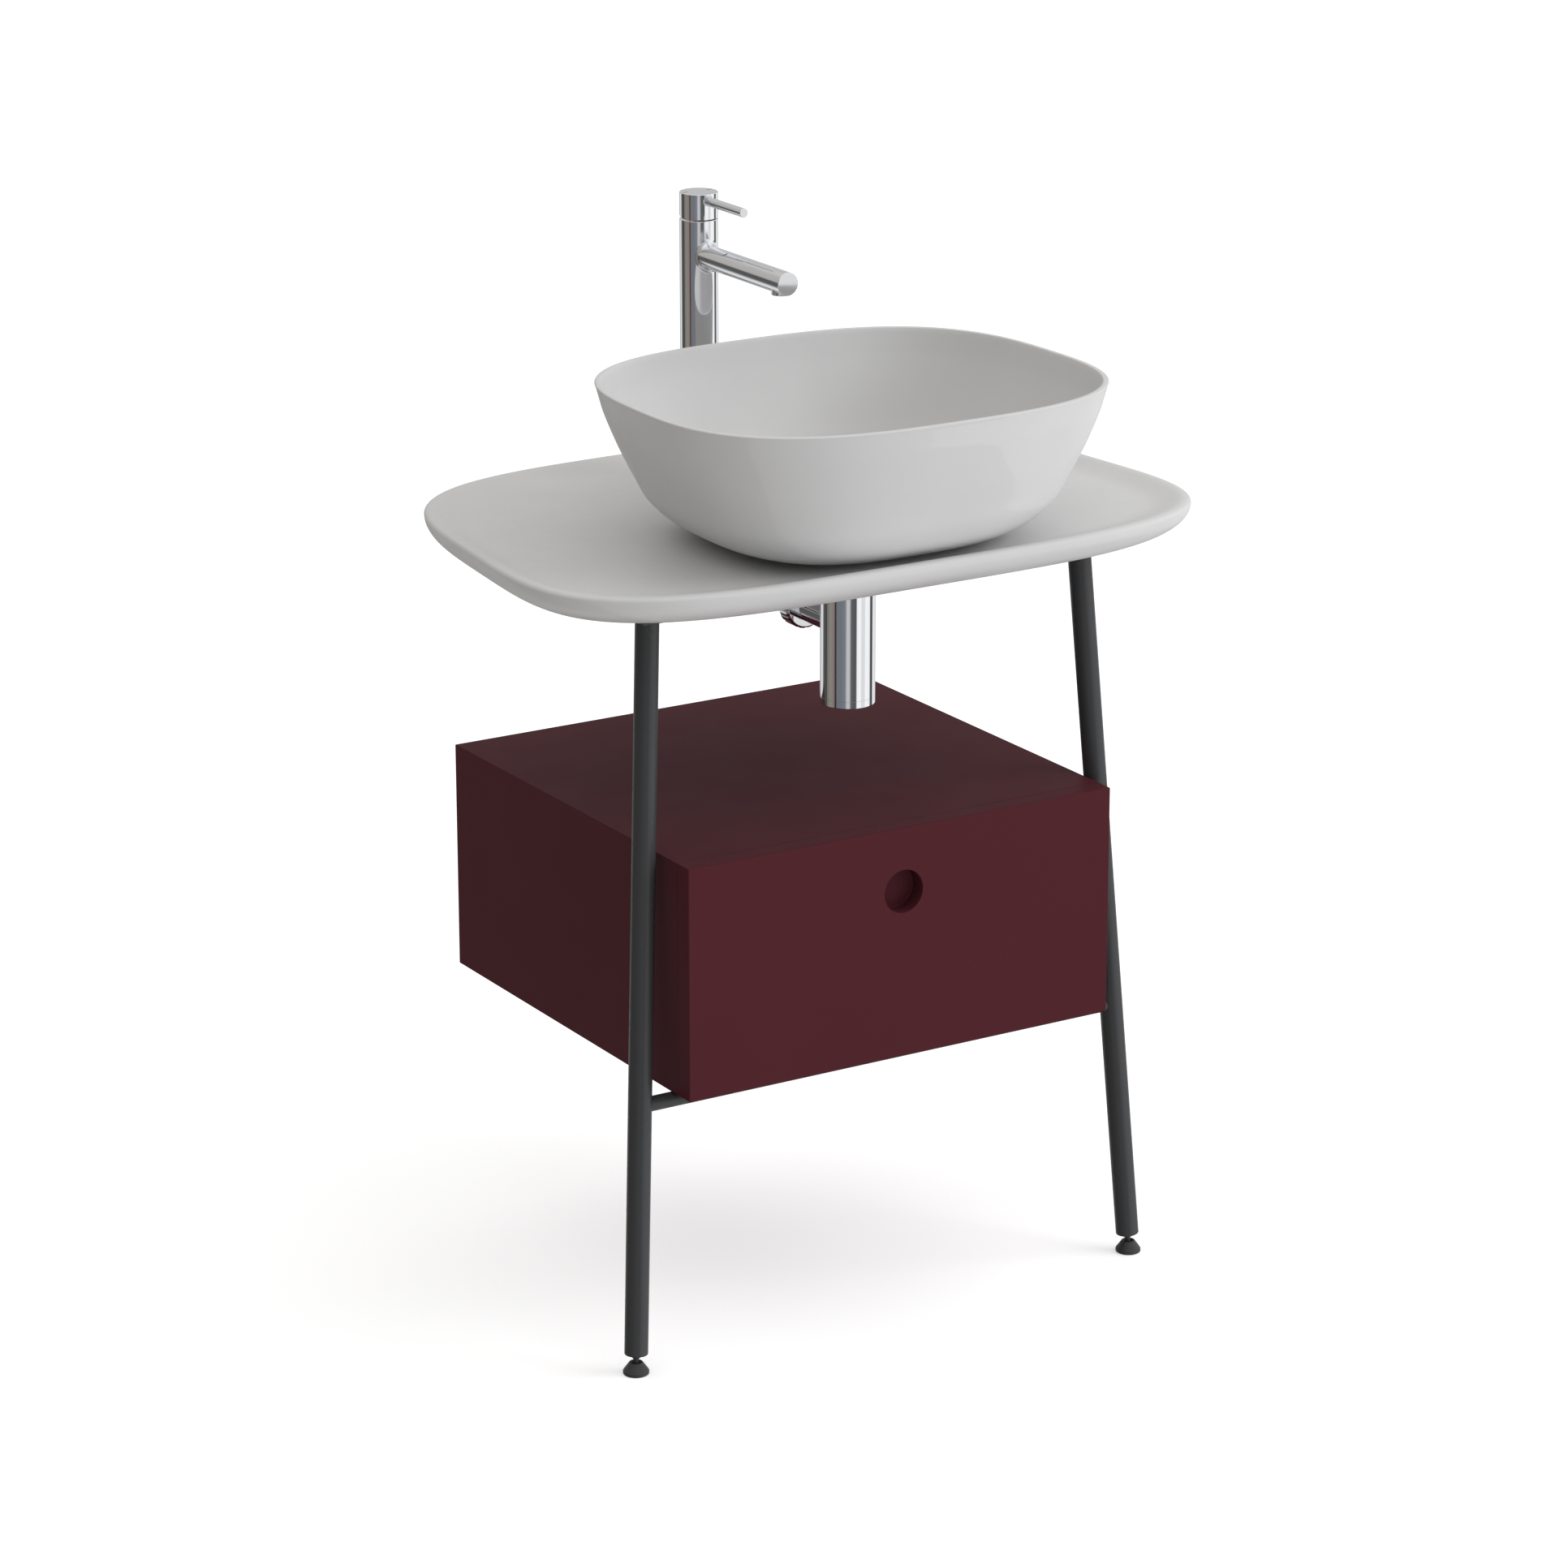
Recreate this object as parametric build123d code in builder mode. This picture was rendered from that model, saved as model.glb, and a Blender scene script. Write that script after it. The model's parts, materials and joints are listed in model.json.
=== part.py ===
"""Vessel sink on a wall-fixed vanity stand: counter, bowl, mixer, bottle trap and drawer unit.

Millimetres. X is across the width, +Y points to the wall and +Z is up. The origin is on the
floor, below the middle of the bounding box, and X = 0 is the plane of symmetry.
"""
from build123d import *
from math import cos, pi, radians, sin, sqrt, tan
import os

os.makedirs("parts", exist_ok=True)

# ---------------------------------------------------------------- driving dimensions
wall_to_waste = 388.5       # wall plane to the waste axis, which is the bowl's centre
clearance = 0.4             # air between flat faces that slide past each other
running = 0.05              # radial clearance of a shaft in its bore

bowl_half_width = 253.0
bowl_half_depth = 214.6
bowl_height = 162.0
bowl_power = 2.87           # exponent of the rim's superellipse
bowl_taper = -0.026
bowl_wall = 6.0
bowl_inner_depth = 142.0
bowl_foot_height = 2.0

counter_half_width = 383.5
counter_half_depth = 278.0
counter_height = 850.0      # floor to the top of the counter's rim
counter_thickness = 38.0
counter_power = 3.8
counter_taper = -0.085
tray_depth = 9.0
rim_band = 9.0
underside_inset = 52.0

waste_thread_radius = 20.95
waste_hole_gap = 2.05       # thread to the holes in bowl and counter
waste_flange_overlap = 9.0  # flange beyond the hole
waste_flange_thickness = 2.0
waste_tube_wall = 3.45
plug_inset = 3.0            # flange edge to plug edge
plug_lift = 8.0
plug_thickness = 4.0
plug_stem_radius = 4.0
plug_seal_thickness = 1.5
waste_nut_height = 10.0
waste_washer_thickness = 3.0

trap_radius = 29.0
trap_wall = 2.0
trap_length = 137.0
trap_cup_height = 8.0
trap_head_gap = 3.0
outlet_radius = 16.0
outlet_drop = 52.0          # trap top to the outlet axis
outlet_stub_length = 90.0
outlet_nut_radius = 25.0
outlet_nut_length = 20.0
rosette_radius = 35.0
rosette_depth = 8.0
dip_tube_gap = 1.5          # dip tube to the waste tube's bore
tube_wall = 1.5

mixer_to_wall = 87.6
mixer_radius = 20.75
mixer_wall = 3.0
mixer_height = 308.3        # tray floor to the top of the cap
cap_height = 27.5
cap_gap = 1.2
cap_wall = 2.5
cap_top = 3.0
cap_edge_round = 0.6
spout_drop = 67.3           # top of the cap to the spout's axis
spout_radius = 12.5
spout_wall = 2.5
spout_reach = 182.0
aerator_radius = 10.5
aerator_setback = 14.0
aerator_stand = 0.8
aerator_seat = 5.5          # spout's axis to the top of the aerator
lever_drop = 7.35
lever_radius = 4.9
lever_reach = 93.3
lever_thread_radius = 3.0
lift_angle = 14.0
spindle_radius = 8.9
pivot_radius = 2.0
pivot_rise = 5.5            # cap's lower edge to the lift pivot
tap_hole_seat = 3.25        # width of the ring on which the mixer stands
stud_radius = 4.0
stud_setback = 8.0          # mixer axis to the stud, towards the wall
inlet_radius = 4.5
inlet_offset = 4.0          # mixer axis to the inlets, towards the front
supply_tube_gap = 3.4       # supply tube to the body's bore

leg_radius = 12.5
leg_wall = 2.0
leg_end_height = 21.0
leg_side_gap = 6.7          # leg to the side of the drawer box, at the box's top
foot_to_wall = 476.8
lean_in = 0.0617            # sideways travel of the leg for each unit of height
lean_back = 0.0614
crossbar_radius = 8.0
rail_height = 16.0
side_rail_width = 25.0
front_rail_width = 20.0
rail_trap_gap = 5.0
rail_wall = 2.0
wall_plate_thickness = 4.0
wall_plate_width = 60.0
wall_plate_height = 40.0
wall_plate_offset = 30.0    # rail centre to plate centre, towards the middle
wall_hole_radius = 5.25
wall_hole_spacing = 30.0
wall_hole_rise = 11.0       # plate's lower edge to the hole centres
insert_length = 26.0
foot_stem_radius = 4.0
foot_neck_radius = 3.0
foot_ball_radius = 5.0
foot_ball_height = 7.0
pad_radius = 13.8
pad_height = 13.0
pad_rim = 3.0
pad_mouth_radius = 6.2
pad_throat_radius = 4.0
rest_pad_height = 2.0
rest_pad_inset = 60.0

box_width = 520.0
box_depth = 500.0
box_height = 252.5
trap_to_box = 107.7         # air between the trap and the drawer box
panel = 16.0
front_thickness = 22.0
front_gap = 0.5
back_recess = 20.0
finger_hole_radius = 23.4
finger_hole_drop = 70.0
finger_hole_skin = 2.0      # left behind the finger recess
drawer_side = 12.0
drawer_side_height = 150.0
drawer_lift = 20.0
drawer_length = 440.0
drawer_bottom_thickness = 8.0
slide_gap = 12.9            # carcass side to drawer side
slide_length = 400.0
slide_sheet = 1.2
slide_height = 43.2
slide_rise = 50.0           # drawer underside to the slide's centre
screw_radius = 2.0
screw_head_radius = 4.0
screw_head_height = 2.0

# ---------------------------------------------------------------- derived places
wall_y = (wall_to_waste + bowl_half_depth) / 2
waste_y = wall_y - wall_to_waste
counter_y = wall_y - counter_half_depth
tray_z = counter_height - tray_depth
counter_bottom = counter_height - counter_thickness
bowl_bottom = tray_z + bowl_foot_height
bowl_rim = bowl_bottom + bowl_height
bowl_floor = bowl_rim - bowl_inner_depth

waste_hole_radius = waste_thread_radius + waste_hole_gap
waste_flange_radius = waste_hole_radius + waste_flange_overlap
waste_tube_bore = waste_thread_radius - waste_tube_wall
plug_radius = waste_flange_radius - plug_inset
dip_tube_radius = waste_tube_bore - dip_tube_gap
waste_nut_top = counter_bottom - waste_washer_thickness
waste_nut_bottom = waste_nut_top - waste_nut_height
trap_top = waste_nut_bottom - trap_head_gap
trap_bottom_height = trap_top - trap_length
outlet_height = trap_top - outlet_drop
waste_tube_bottom = trap_top - 24.0
flange_top = bowl_floor + waste_flange_thickness
plug_bottom = flange_top + plug_lift

tap_hole_radius = mixer_radius - tap_hole_seat
mixer_bore = mixer_radius - mixer_wall
mixer_y = wall_y - mixer_to_wall
inlet_x = sqrt((mixer_bore - supply_tube_gap - inlet_radius) ** 2 - inlet_offset ** 2)
inlet_y = mixer_y - inlet_offset
stud_y = mixer_y + stud_setback
mixer_top = tray_z + mixer_height
cap_bottom = mixer_top - cap_height
body_top = cap_bottom - cap_gap
spout_z = mixer_top - spout_drop
lever_z = mixer_top - lever_drop
pivot_z = cap_bottom + pivot_rise

box_top = trap_bottom_height - trap_to_box
box_bottom_height = box_top - box_height

rail_top = counter_bottom
rail_bottom = rail_top - rail_height
foot_y = wall_y - foot_to_wall
foot_half_spacing = box_width / 2 + leg_side_gap + leg_radius + lean_in * box_top
leg_top_x = foot_half_spacing - lean_in * rail_bottom
front_rail_y = waste_y - trap_radius - rail_trap_gap - front_rail_width / 2
crossbar_z = box_bottom_height - rest_pad_height - crossbar_radius
crossbar_x = foot_half_spacing - lean_in * crossbar_z
crossbar_y = foot_y + lean_back * crossbar_z

front_y = wall_y - box_depth
carcass_front = front_y + front_thickness + front_gap
inner_half_width = box_width / 2 - panel
drawer_half_width = inner_half_width - slide_gap
drawer_z = box_bottom_height + panel + drawer_lift
slide_z = drawer_z + slide_rise
slide_front = carcass_front + 4.0

sides = ((-1, "left"), (1, "right"))


def save(builder, name):
    """Label a finished piece and write its STEP file."""
    builder.part.label = name
    export_step(builder.part, f"parts/{name}.step")


def outline(half_width, half_depth, power, taper, centre_y, count=36):
    """Points of a superellipse whose width tapers from front to back."""
    points = []
    for step in range(count):
        angle = 2 * pi * step / count
        c = cos(angle)
        s = sin(angle)
        reach = (abs(c / half_width) ** power + abs(s / half_depth) ** power) ** (-1 / power)
        x = reach * c
        y = reach * s
        points.append((x * (1 + taper * y / half_depth), centre_y + y))
    return points


def outline_sketch(z, points):
    """A closed smooth face through the points at height z."""
    with BuildSketch(Plane.XY.offset(z)) as sketch:
        with BuildLine():
            Spline(points, periodic=True)
        make_face()
    return sketch.sketch


def counter_outline(inset):
    return outline(counter_half_width - inset, counter_half_depth - inset,
                   counter_power, counter_taper, counter_y)


def bowl_outline(inset, wall=0.0):
    """The bowl's outline, drawn in by inset across and by three quarters of that in depth."""
    return outline(bowl_half_width - inset - wall, bowl_half_depth - 0.756 * inset - wall,
                   bowl_power, bowl_taper, waste_y)


def bar(x0, x1, y0, y1, z0, z1, mode=Mode.ADD):
    """A block between two corners."""
    with BuildSketch(Plane.XY.offset(z0)) as profile:
        with Locations(((x0 + x1) / 2, (y0 + y1) / 2)):
            Rectangle(abs(x1 - x0), abs(y1 - y0))
    extrude(profile.sketch, amount=z1 - z0, mode=mode)


def rod(x, y, radius, z0, z1, mode=Mode.ADD):
    """An upright round bar, or its hole."""
    with BuildSketch(Plane.XY.offset(z0)) as profile:
        with Locations((x, y)):
            Circle(radius)
    extrude(profile.sketch, amount=z1 - z0, mode=mode)


def rod_y(x, z, radius, y0, y1, mode=Mode.ADD):
    """A round bar along Y, or its hole."""
    with BuildSketch(Plane(origin=(x, y0, z), x_dir=(1, 0, 0), z_dir=(0, 1, 0))) as profile:
        Circle(radius)
    extrude(profile.sketch, amount=y1 - y0, mode=mode)


def rod_x(y, z, radius, x0, x1, mode=Mode.ADD):
    """A round bar along X, or its hole."""
    start = Plane(origin=(min(x0, x1), y, z), x_dir=(0, 1, 0), z_dir=(1, 0, 0))
    with BuildSketch(start) as profile:
        Circle(radius)
    extrude(profile.sketch, amount=abs(x1 - x0), mode=mode)


def leg_plane(side, height=0.0):
    """The plane square to a leg where its axis passes a height above the floor."""
    x = side * (foot_half_spacing - lean_in * height)
    y = foot_y + lean_back * height
    return Plane(origin=(x, y, height), z_dir=(-side * lean_in, lean_back, 1))


# ---------------------------------------------------------------- counter and bowl
# The edge is a bullnose: a quarter ellipse from the flat underside to the widest line.
edge_round = 4.0
with BuildPart() as counter_top:
    for degrees in (90, 72, 54, 36, 18, 0):
        angle = radians(degrees)
        drop = edge_round + (counter_thickness - edge_round) * sin(angle)
        inset = underside_inset * (1 - cos(angle))
        add(outline_sketch(counter_height - drop, counter_outline(inset)))
    add(outline_sketch(counter_height, counter_outline(edge_round / 2)))
    loft()
    for inset, drop in ((46, tray_depth), (30, 0.8 * tray_depth), (18, 0.35 * tray_depth), (rim_band, 0)):
        add(outline_sketch(counter_height - drop, counter_outline(inset)))
    loft(mode=Mode.SUBTRACT)
    rod(0, waste_y, waste_hole_radius, counter_bottom, tray_z, mode=Mode.SUBTRACT)
    rod(0, mixer_y, tap_hole_radius, counter_bottom, tray_z, mode=Mode.SUBTRACT)
save(counter_top, "counter_top")

# Outer profile of the bowl as (depth below the rim, inset), as shares of its height and width.
outer_profile = ((1.0, 0.536), (0.96, 0.417), (0.88, 0.297), (0.75, 0.205), (0.6, 0.151),
                 (0.4, 0.088), (0.2, 0.036), (0.0, 0.0))
inner_profile = ((1.0, 0.46), (0.95, 0.34), (0.85, 0.235), (0.68, 0.158), (0.45, 0.092),
                 (0.22, 0.038), (0.0, 0.0))
foot_inset = outer_profile[0][1] * bowl_half_width + 4.0
with BuildPart() as bowl:
    for depth, inset in outer_profile:
        add(outline_sketch(bowl_rim - depth * bowl_height, bowl_outline(inset * bowl_half_width)))
    loft()
    for depth, inset in inner_profile:
        add(outline_sketch(bowl_rim - depth * bowl_inner_depth,
                           bowl_outline(inset * bowl_half_width, bowl_wall)))
    loft(mode=Mode.SUBTRACT)
    add(outline_sketch(tray_z, bowl_outline(foot_inset)))
    extrude(amount=bowl_foot_height)
    add(outline_sketch(tray_z, bowl_outline(foot_inset + 14)))
    extrude(amount=bowl_foot_height, mode=Mode.SUBTRACT)
    rod(0, waste_y, waste_hole_radius, bowl_bottom, bowl_floor, mode=Mode.SUBTRACT)
save(bowl, "bowl")

with BuildPart() as bowl_seal:
    rod(0, waste_y, waste_hole_radius + 13, tray_z, bowl_bottom)
    rod(0, waste_y, waste_hole_radius, tray_z, bowl_bottom, mode=Mode.SUBTRACT)
save(bowl_seal, "bowl_seal")

# ---------------------------------------------------------------- waste and trap
# The guide is a boss on three arms, inside the top of the threaded tube.
guide_radius = plug_stem_radius + 3.0
guide_top = bowl_floor - 4.0
guide_bottom = guide_top - 14.0
with BuildPart() as waste_body:
    rod(0, waste_y, waste_flange_radius, bowl_floor, flange_top)
    rod(0, waste_y, waste_thread_radius, waste_tube_bottom, bowl_floor)
    rod(0, waste_y, waste_tube_bore, waste_tube_bottom, flange_top, mode=Mode.SUBTRACT)
    rod(0, waste_y, guide_radius, guide_bottom, guide_top)
    for turn in (90, 210, 330):
        with BuildSketch(Plane.XY.offset(guide_bottom)):
            with Locations(Location((0, waste_y), turn)):
                with Locations(((guide_radius + waste_tube_bore) / 2, 0)):
                    Rectangle(waste_tube_bore - guide_radius + 2, 3)
        extrude(amount=guide_top - guide_bottom)
    rod(0, waste_y, plug_stem_radius + running, guide_bottom, guide_top, mode=Mode.SUBTRACT)
save(waste_body, "waste_body")

with BuildPart() as waste_plug:
    rod(0, waste_y, plug_radius, plug_bottom, plug_bottom + plug_thickness)
    fillet(waste_plug.edges().group_by(Axis.Z)[-1], plug_thickness * 0.4)
    rod(0, waste_y, plug_stem_radius, guide_bottom + 1, plug_bottom)
save(waste_plug, "waste_plug")

with BuildPart() as plug_seal:
    rod(0, waste_y, plug_radius - 4, plug_bottom - plug_seal_thickness, plug_bottom)
    rod(0, waste_y, waste_tube_bore + 1, plug_bottom - plug_seal_thickness, plug_bottom, mode=Mode.SUBTRACT)
save(plug_seal, "plug_seal")

with BuildPart() as waste_washer:
    rod(0, waste_y, waste_hole_radius + 6, waste_nut_top, counter_bottom)
    rod(0, waste_y, waste_thread_radius, waste_nut_top, counter_bottom, mode=Mode.SUBTRACT)
save(waste_washer, "waste_washer")

with BuildPart() as waste_nut:
    with BuildSketch(Plane.XY.offset(waste_nut_bottom)):
        with Locations((0, waste_y)):
            RegularPolygon(waste_thread_radius + 7, 6)
            Circle(waste_thread_radius, mode=Mode.SUBTRACT)
    extrude(amount=waste_nut_height)
save(waste_nut, "waste_nut")

trap_bore = trap_radius - trap_wall
trap_seam = trap_bottom_height + trap_cup_height
stub_end = waste_y + outlet_stub_length
with BuildPart() as trap_body:
    rod(0, waste_y, trap_radius, trap_seam, trap_top)
    rod_y(0, outlet_height, outlet_radius, waste_y, stub_end)
    rod(0, waste_y, trap_bore, trap_seam, trap_top, mode=Mode.SUBTRACT)
    rod_y(0, outlet_height, outlet_radius - tube_wall, waste_y, stub_end, mode=Mode.SUBTRACT)
save(trap_body, "trap_body")

trap_spigot = 16.0
with BuildPart() as trap_cup:
    rod(0, waste_y, trap_radius, trap_bottom_height, trap_seam)
    fillet(trap_cup.edges().group_by(Axis.Z)[0], trap_wall)
    rod(0, waste_y, trap_bore, trap_seam, trap_seam + trap_spigot)
    rod(0, waste_y, trap_bore - trap_wall, trap_bottom_height + 3, trap_seam + trap_spigot,
        mode=Mode.SUBTRACT)
save(trap_cup, "trap_cup")

with BuildPart() as trap_head:
    rod(0, waste_y, trap_bore, trap_top - 8, trap_top)
    rod(0, waste_y, waste_thread_radius, trap_top - 8, trap_top, mode=Mode.SUBTRACT)
save(trap_head, "trap_head")

# The dip tube hangs from a collar that fills the waste tube's bore.
dip_collar_bottom = waste_tube_bottom + 2
with BuildPart() as dip_tube:
    rod(0, waste_y, dip_tube_radius, trap_seam + 26, dip_collar_bottom)
    rod(0, waste_y, waste_tube_bore, dip_collar_bottom, dip_collar_bottom + 8)
    rod(0, waste_y, dip_tube_radius - tube_wall, trap_seam + 26, dip_collar_bottom + 8, mode=Mode.SUBTRACT)
save(dip_tube, "dip_tube")

nut_front = stub_end - outlet_nut_length / 2
with BuildPart() as outlet_nut:
    rod_y(0, outlet_height, outlet_nut_radius, nut_front, nut_front + outlet_nut_length)
    chamfer(outlet_nut.edges().filter_by(GeomType.CIRCLE), 1.5)
    rod_y(0, outlet_height, outlet_radius, nut_front, nut_front + outlet_nut_length, mode=Mode.SUBTRACT)
save(outlet_nut, "outlet_nut")

with BuildPart() as waste_pipe:
    rod_y(0, outlet_height, outlet_radius, stub_end, wall_y)
    rod_y(0, outlet_height, outlet_radius - tube_wall, stub_end, wall_y, mode=Mode.SUBTRACT)
save(waste_pipe, "waste_pipe")

with BuildPart() as wall_rosette:
    rod_y(0, outlet_height, rosette_radius, wall_y - rosette_depth, wall_y)
    chamfer(wall_rosette.edges().group_by(Axis.Y)[0], rosette_depth * 0.6)
    rod_y(0, outlet_height, outlet_radius, wall_y - rosette_depth, wall_y, mode=Mode.SUBTRACT)
save(wall_rosette, "wall_rosette")

# ---------------------------------------------------------------- mixer, fixed pieces
spout_tip = mixer_y - spout_reach
aerator_y = spout_tip + aerator_setback
cartridge_bottom = spout_z + spout_radius + 1.5
nut_bottom = body_top - 5.5
base_plug_height = 14.0
with BuildPart() as mixer_body:
    rod(0, mixer_y, mixer_radius, tray_z, body_top)
    rod(0, mixer_y, mixer_bore, tray_z, body_top, mode=Mode.SUBTRACT)
    rod_y(0, spout_z, spout_radius - spout_wall, mixer_y - mixer_radius, mixer_y, mode=Mode.SUBTRACT)
save(mixer_body, "mixer_body")

with BuildPart() as mixer_spout:
    rod_y(0, spout_z, spout_radius, spout_tip, mixer_y - mixer_bore)
    fillet(mixer_spout.edges().group_by(Axis.Y)[0], 0.8)
    rod(0, mixer_y, mixer_radius, spout_z - 2 * spout_radius, spout_z + 2 * spout_radius,
        mode=Mode.SUBTRACT)
    rod_y(0, spout_z, spout_radius - spout_wall, spout_tip + 3, mixer_y, mode=Mode.SUBTRACT)
    rod(0, aerator_y, aerator_radius, spout_z - spout_radius, spout_z, mode=Mode.SUBTRACT)
save(mixer_spout, "mixer_spout")

aerator_bottom = spout_z - spout_radius - aerator_stand
with BuildPart() as aerator:
    rod(0, aerator_y, aerator_radius, aerator_bottom, spout_z - aerator_seat)
    rod(0, aerator_y, aerator_radius - 2, aerator_bottom, aerator_bottom + 2, mode=Mode.SUBTRACT)
save(aerator, "aerator")

with BuildPart() as cartridge:
    rod(0, mixer_y, mixer_bore, cartridge_bottom, nut_bottom)
save(cartridge, "cartridge")

with BuildPart() as cartridge_nut:
    rod(0, mixer_y, mixer_bore, nut_bottom, body_top)
    rod(0, mixer_y, spindle_radius + running, nut_bottom, body_top, mode=Mode.SUBTRACT)
save(cartridge_nut, "cartridge_nut")

with BuildPart() as mixer_base_plug:
    rod(0, mixer_y, mixer_bore, tray_z, tray_z + base_plug_height)
    for x in (-inlet_x, inlet_x):
        rod(x, inlet_y, inlet_radius, tray_z, tray_z + base_plug_height, mode=Mode.SUBTRACT)
    rod(0, stud_y, stud_radius, tray_z, tray_z + base_plug_height, mode=Mode.SUBTRACT)
save(mixer_base_plug, "mixer_base_plug")

with BuildPart() as supply_tubes:
    for x in (-inlet_x, inlet_x):
        rod(x, inlet_y, inlet_radius, tray_z + base_plug_height, cartridge_bottom)
        rod(x, inlet_y, inlet_radius - 1, tray_z + base_plug_height, cartridge_bottom,
            mode=Mode.SUBTRACT)
save(supply_tubes, "supply_tubes")

stud_bottom = counter_bottom - 28.0
plate_thickness = 3.0
with BuildPart() as mounting_stud:
    rod(0, stud_y, stud_radius, stud_bottom, tray_z + base_plug_height)
save(mounting_stud, "mounting_stud")

# The horseshoe spans the tap hole and is open to the front, where the hoses pass.
with BuildPart() as horseshoe_plate:
    with BuildSketch(Plane.XY.offset(counter_bottom - plate_thickness)):
        with Locations((0, mixer_y)):
            Circle(tap_hole_radius + 7)
        with Locations((0, mixer_y - 14)):
            Rectangle(30, 34, mode=Mode.SUBTRACT)
        with Locations((0, stud_y)):
            Circle(stud_radius, mode=Mode.SUBTRACT)
    extrude(amount=plate_thickness)
save(horseshoe_plate, "horseshoe_plate")

with BuildPart() as stud_nut:
    with BuildSketch(Plane.XY.offset(counter_bottom - plate_thickness - 6.5)):
        with Locations((0, stud_y)):
            RegularPolygon(stud_radius + 3.5, 6)
            Circle(stud_radius, mode=Mode.SUBTRACT)
    extrude(amount=6.5)
save(stud_nut, "stud_nut")

# ---------------------------------------------------------------- mixer, moving pieces
tongue_half = 4.0
cheek_thickness = 4.0
cheek_half_depth = 6.0
bridge_bottom = pivot_z + 7.0
with BuildPart() as cartridge_spindle:
    rod(0, mixer_y, spindle_radius, nut_bottom, body_top)
    bar(-tongue_half, tongue_half, mixer_y - 5, mixer_y + 5, body_top, pivot_z)
    rod_x(mixer_y, pivot_z, 5, -tongue_half, tongue_half)
    rod_x(mixer_y, pivot_z, pivot_radius + running, -tongue_half, tongue_half, mode=Mode.SUBTRACT)
save(cartridge_spindle, "cartridge_spindle")

cheek_inner = tongue_half + clearance
cheek_outer = cheek_inner + cheek_thickness
with BuildPart() as handle_carrier:
    rod(0, mixer_y, 13, bridge_bottom, mixer_top - cap_top)
    for side, word in sides:
        bar(side * cheek_inner, side * cheek_outer, mixer_y - cheek_half_depth, mixer_y + cheek_half_depth,
            pivot_z - 3, bridge_bottom)
    rod_x(mixer_y, pivot_z, pivot_radius, -cheek_outer, cheek_outer, mode=Mode.SUBTRACT)
    rod_y(0, lever_z, lever_thread_radius, mixer_y - 13, mixer_y - 2, mode=Mode.SUBTRACT)
    rod_y(0, lever_z, screw_radius, mixer_y + 5, mixer_y + 13, mode=Mode.SUBTRACT)
save(handle_carrier, "handle_carrier")

with BuildPart() as handle_pivot:
    rod_x(mixer_y, pivot_z, pivot_radius, -cheek_outer, cheek_outer)
save(handle_pivot, "handle_pivot")

# Behind the axis the cap's lower edge rises, so the cap can tip back without meeting the body.
mark_length = 6.2
mark_width = 1.3
mark_depth = 0.4
mark_edge = 2.95            # cap's rim to the outer end of each mark
mark_offset = mixer_radius - mark_edge - mark_length / 2
mark_setback = 3.2          # mixer axis to the marks, towards the wall


def mark(side, mode=Mode.ADD):
    x = side * mark_offset
    y = mixer_y + mark_setback
    return bar(x - mark_length / 2, x + mark_length / 2, y - mark_width / 2, y + mark_width / 2,
               mixer_top - mark_depth, mixer_top, mode=mode)


relief_reach = mixer_radius + 2
with BuildPart() as handle_cap:
    rod(0, mixer_y, mixer_radius, cap_bottom, mixer_top)
    fillet(handle_cap.edges().group_by(Axis.Z)[-1], cap_edge_round)
    rod(0, mixer_y, mixer_radius - cap_wall, cap_bottom, mixer_top - cap_top, mode=Mode.SUBTRACT)
    with BuildSketch(Plane.YZ.offset(-relief_reach)):
        with BuildLine():
            Polyline((mixer_y - 2, cap_bottom), (mixer_y + relief_reach, cap_bottom),
                     (mixer_y + relief_reach, cap_bottom + (relief_reach + 2) * tan(radians(lift_angle))),
                     close=True)
        make_face()
    extrude(amount=2 * relief_reach, mode=Mode.SUBTRACT)
    rod_y(0, lever_z, lever_radius, mixer_y - mixer_radius, mixer_y - 13, mode=Mode.SUBTRACT)
    rod_y(0, lever_z, screw_radius + 0.5, mixer_y + 13, mixer_y + mixer_radius, mode=Mode.SUBTRACT)
    for side, word in sides:
        mark(side, mode=Mode.SUBTRACT)
save(handle_cap, "handle_cap")

with BuildPart() as lever_pin:
    rod_y(0, lever_z, lever_radius, mixer_y - lever_reach, mixer_y - 13)
    fillet(lever_pin.edges().group_by(Axis.Y)[0], 0.8)
    rod_y(0, lever_z, lever_thread_radius, mixer_y - 13, mixer_y - 3)
save(lever_pin, "lever_pin")

with BuildPart() as grub_screw:
    rod_y(0, lever_z, screw_radius, mixer_y + 5, mixer_y + 13)
save(grub_screw, "grub_screw")

with BuildPart() as hot_mark:
    mark(-1)
save(hot_mark, "hot_mark")

with BuildPart() as cold_mark:
    mark(1)
save(cold_mark, "cold_mark")

# ---------------------------------------------------------------- stand
leg_stretch = sqrt(1 + lean_in ** 2 + lean_back ** 2)
insert_top = leg_end_height + insert_length
for side, word in sides:
    with BuildPart() as leg:
        with BuildSketch(leg_plane(side, leg_end_height)):
            Circle(leg_radius)
        extrude(amount=(rail_bottom - leg_end_height + 3) * leg_stretch)
        fillet(leg.edges().group_by(Axis.Z)[0], 1.5)
        with BuildSketch(leg_plane(side, leg_end_height)):
            Circle(leg_radius - leg_wall)
        extrude(amount=(rail_bottom - leg_end_height + 3) * leg_stretch, mode=Mode.SUBTRACT)
        split(bisect_by=Plane.XY.offset(rail_bottom), keep=Keep.BOTTOM)
    save(leg, f"{word}_leg")

with BuildPart() as leg_inserts:
    for side, word in sides:
        with BuildSketch(leg_plane(side, leg_end_height)):
            Circle(leg_radius - leg_wall)
            Circle(foot_stem_radius + running, mode=Mode.SUBTRACT)
        extrude(amount=insert_length * leg_stretch)
save(leg_inserts, "leg_inserts")

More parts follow.
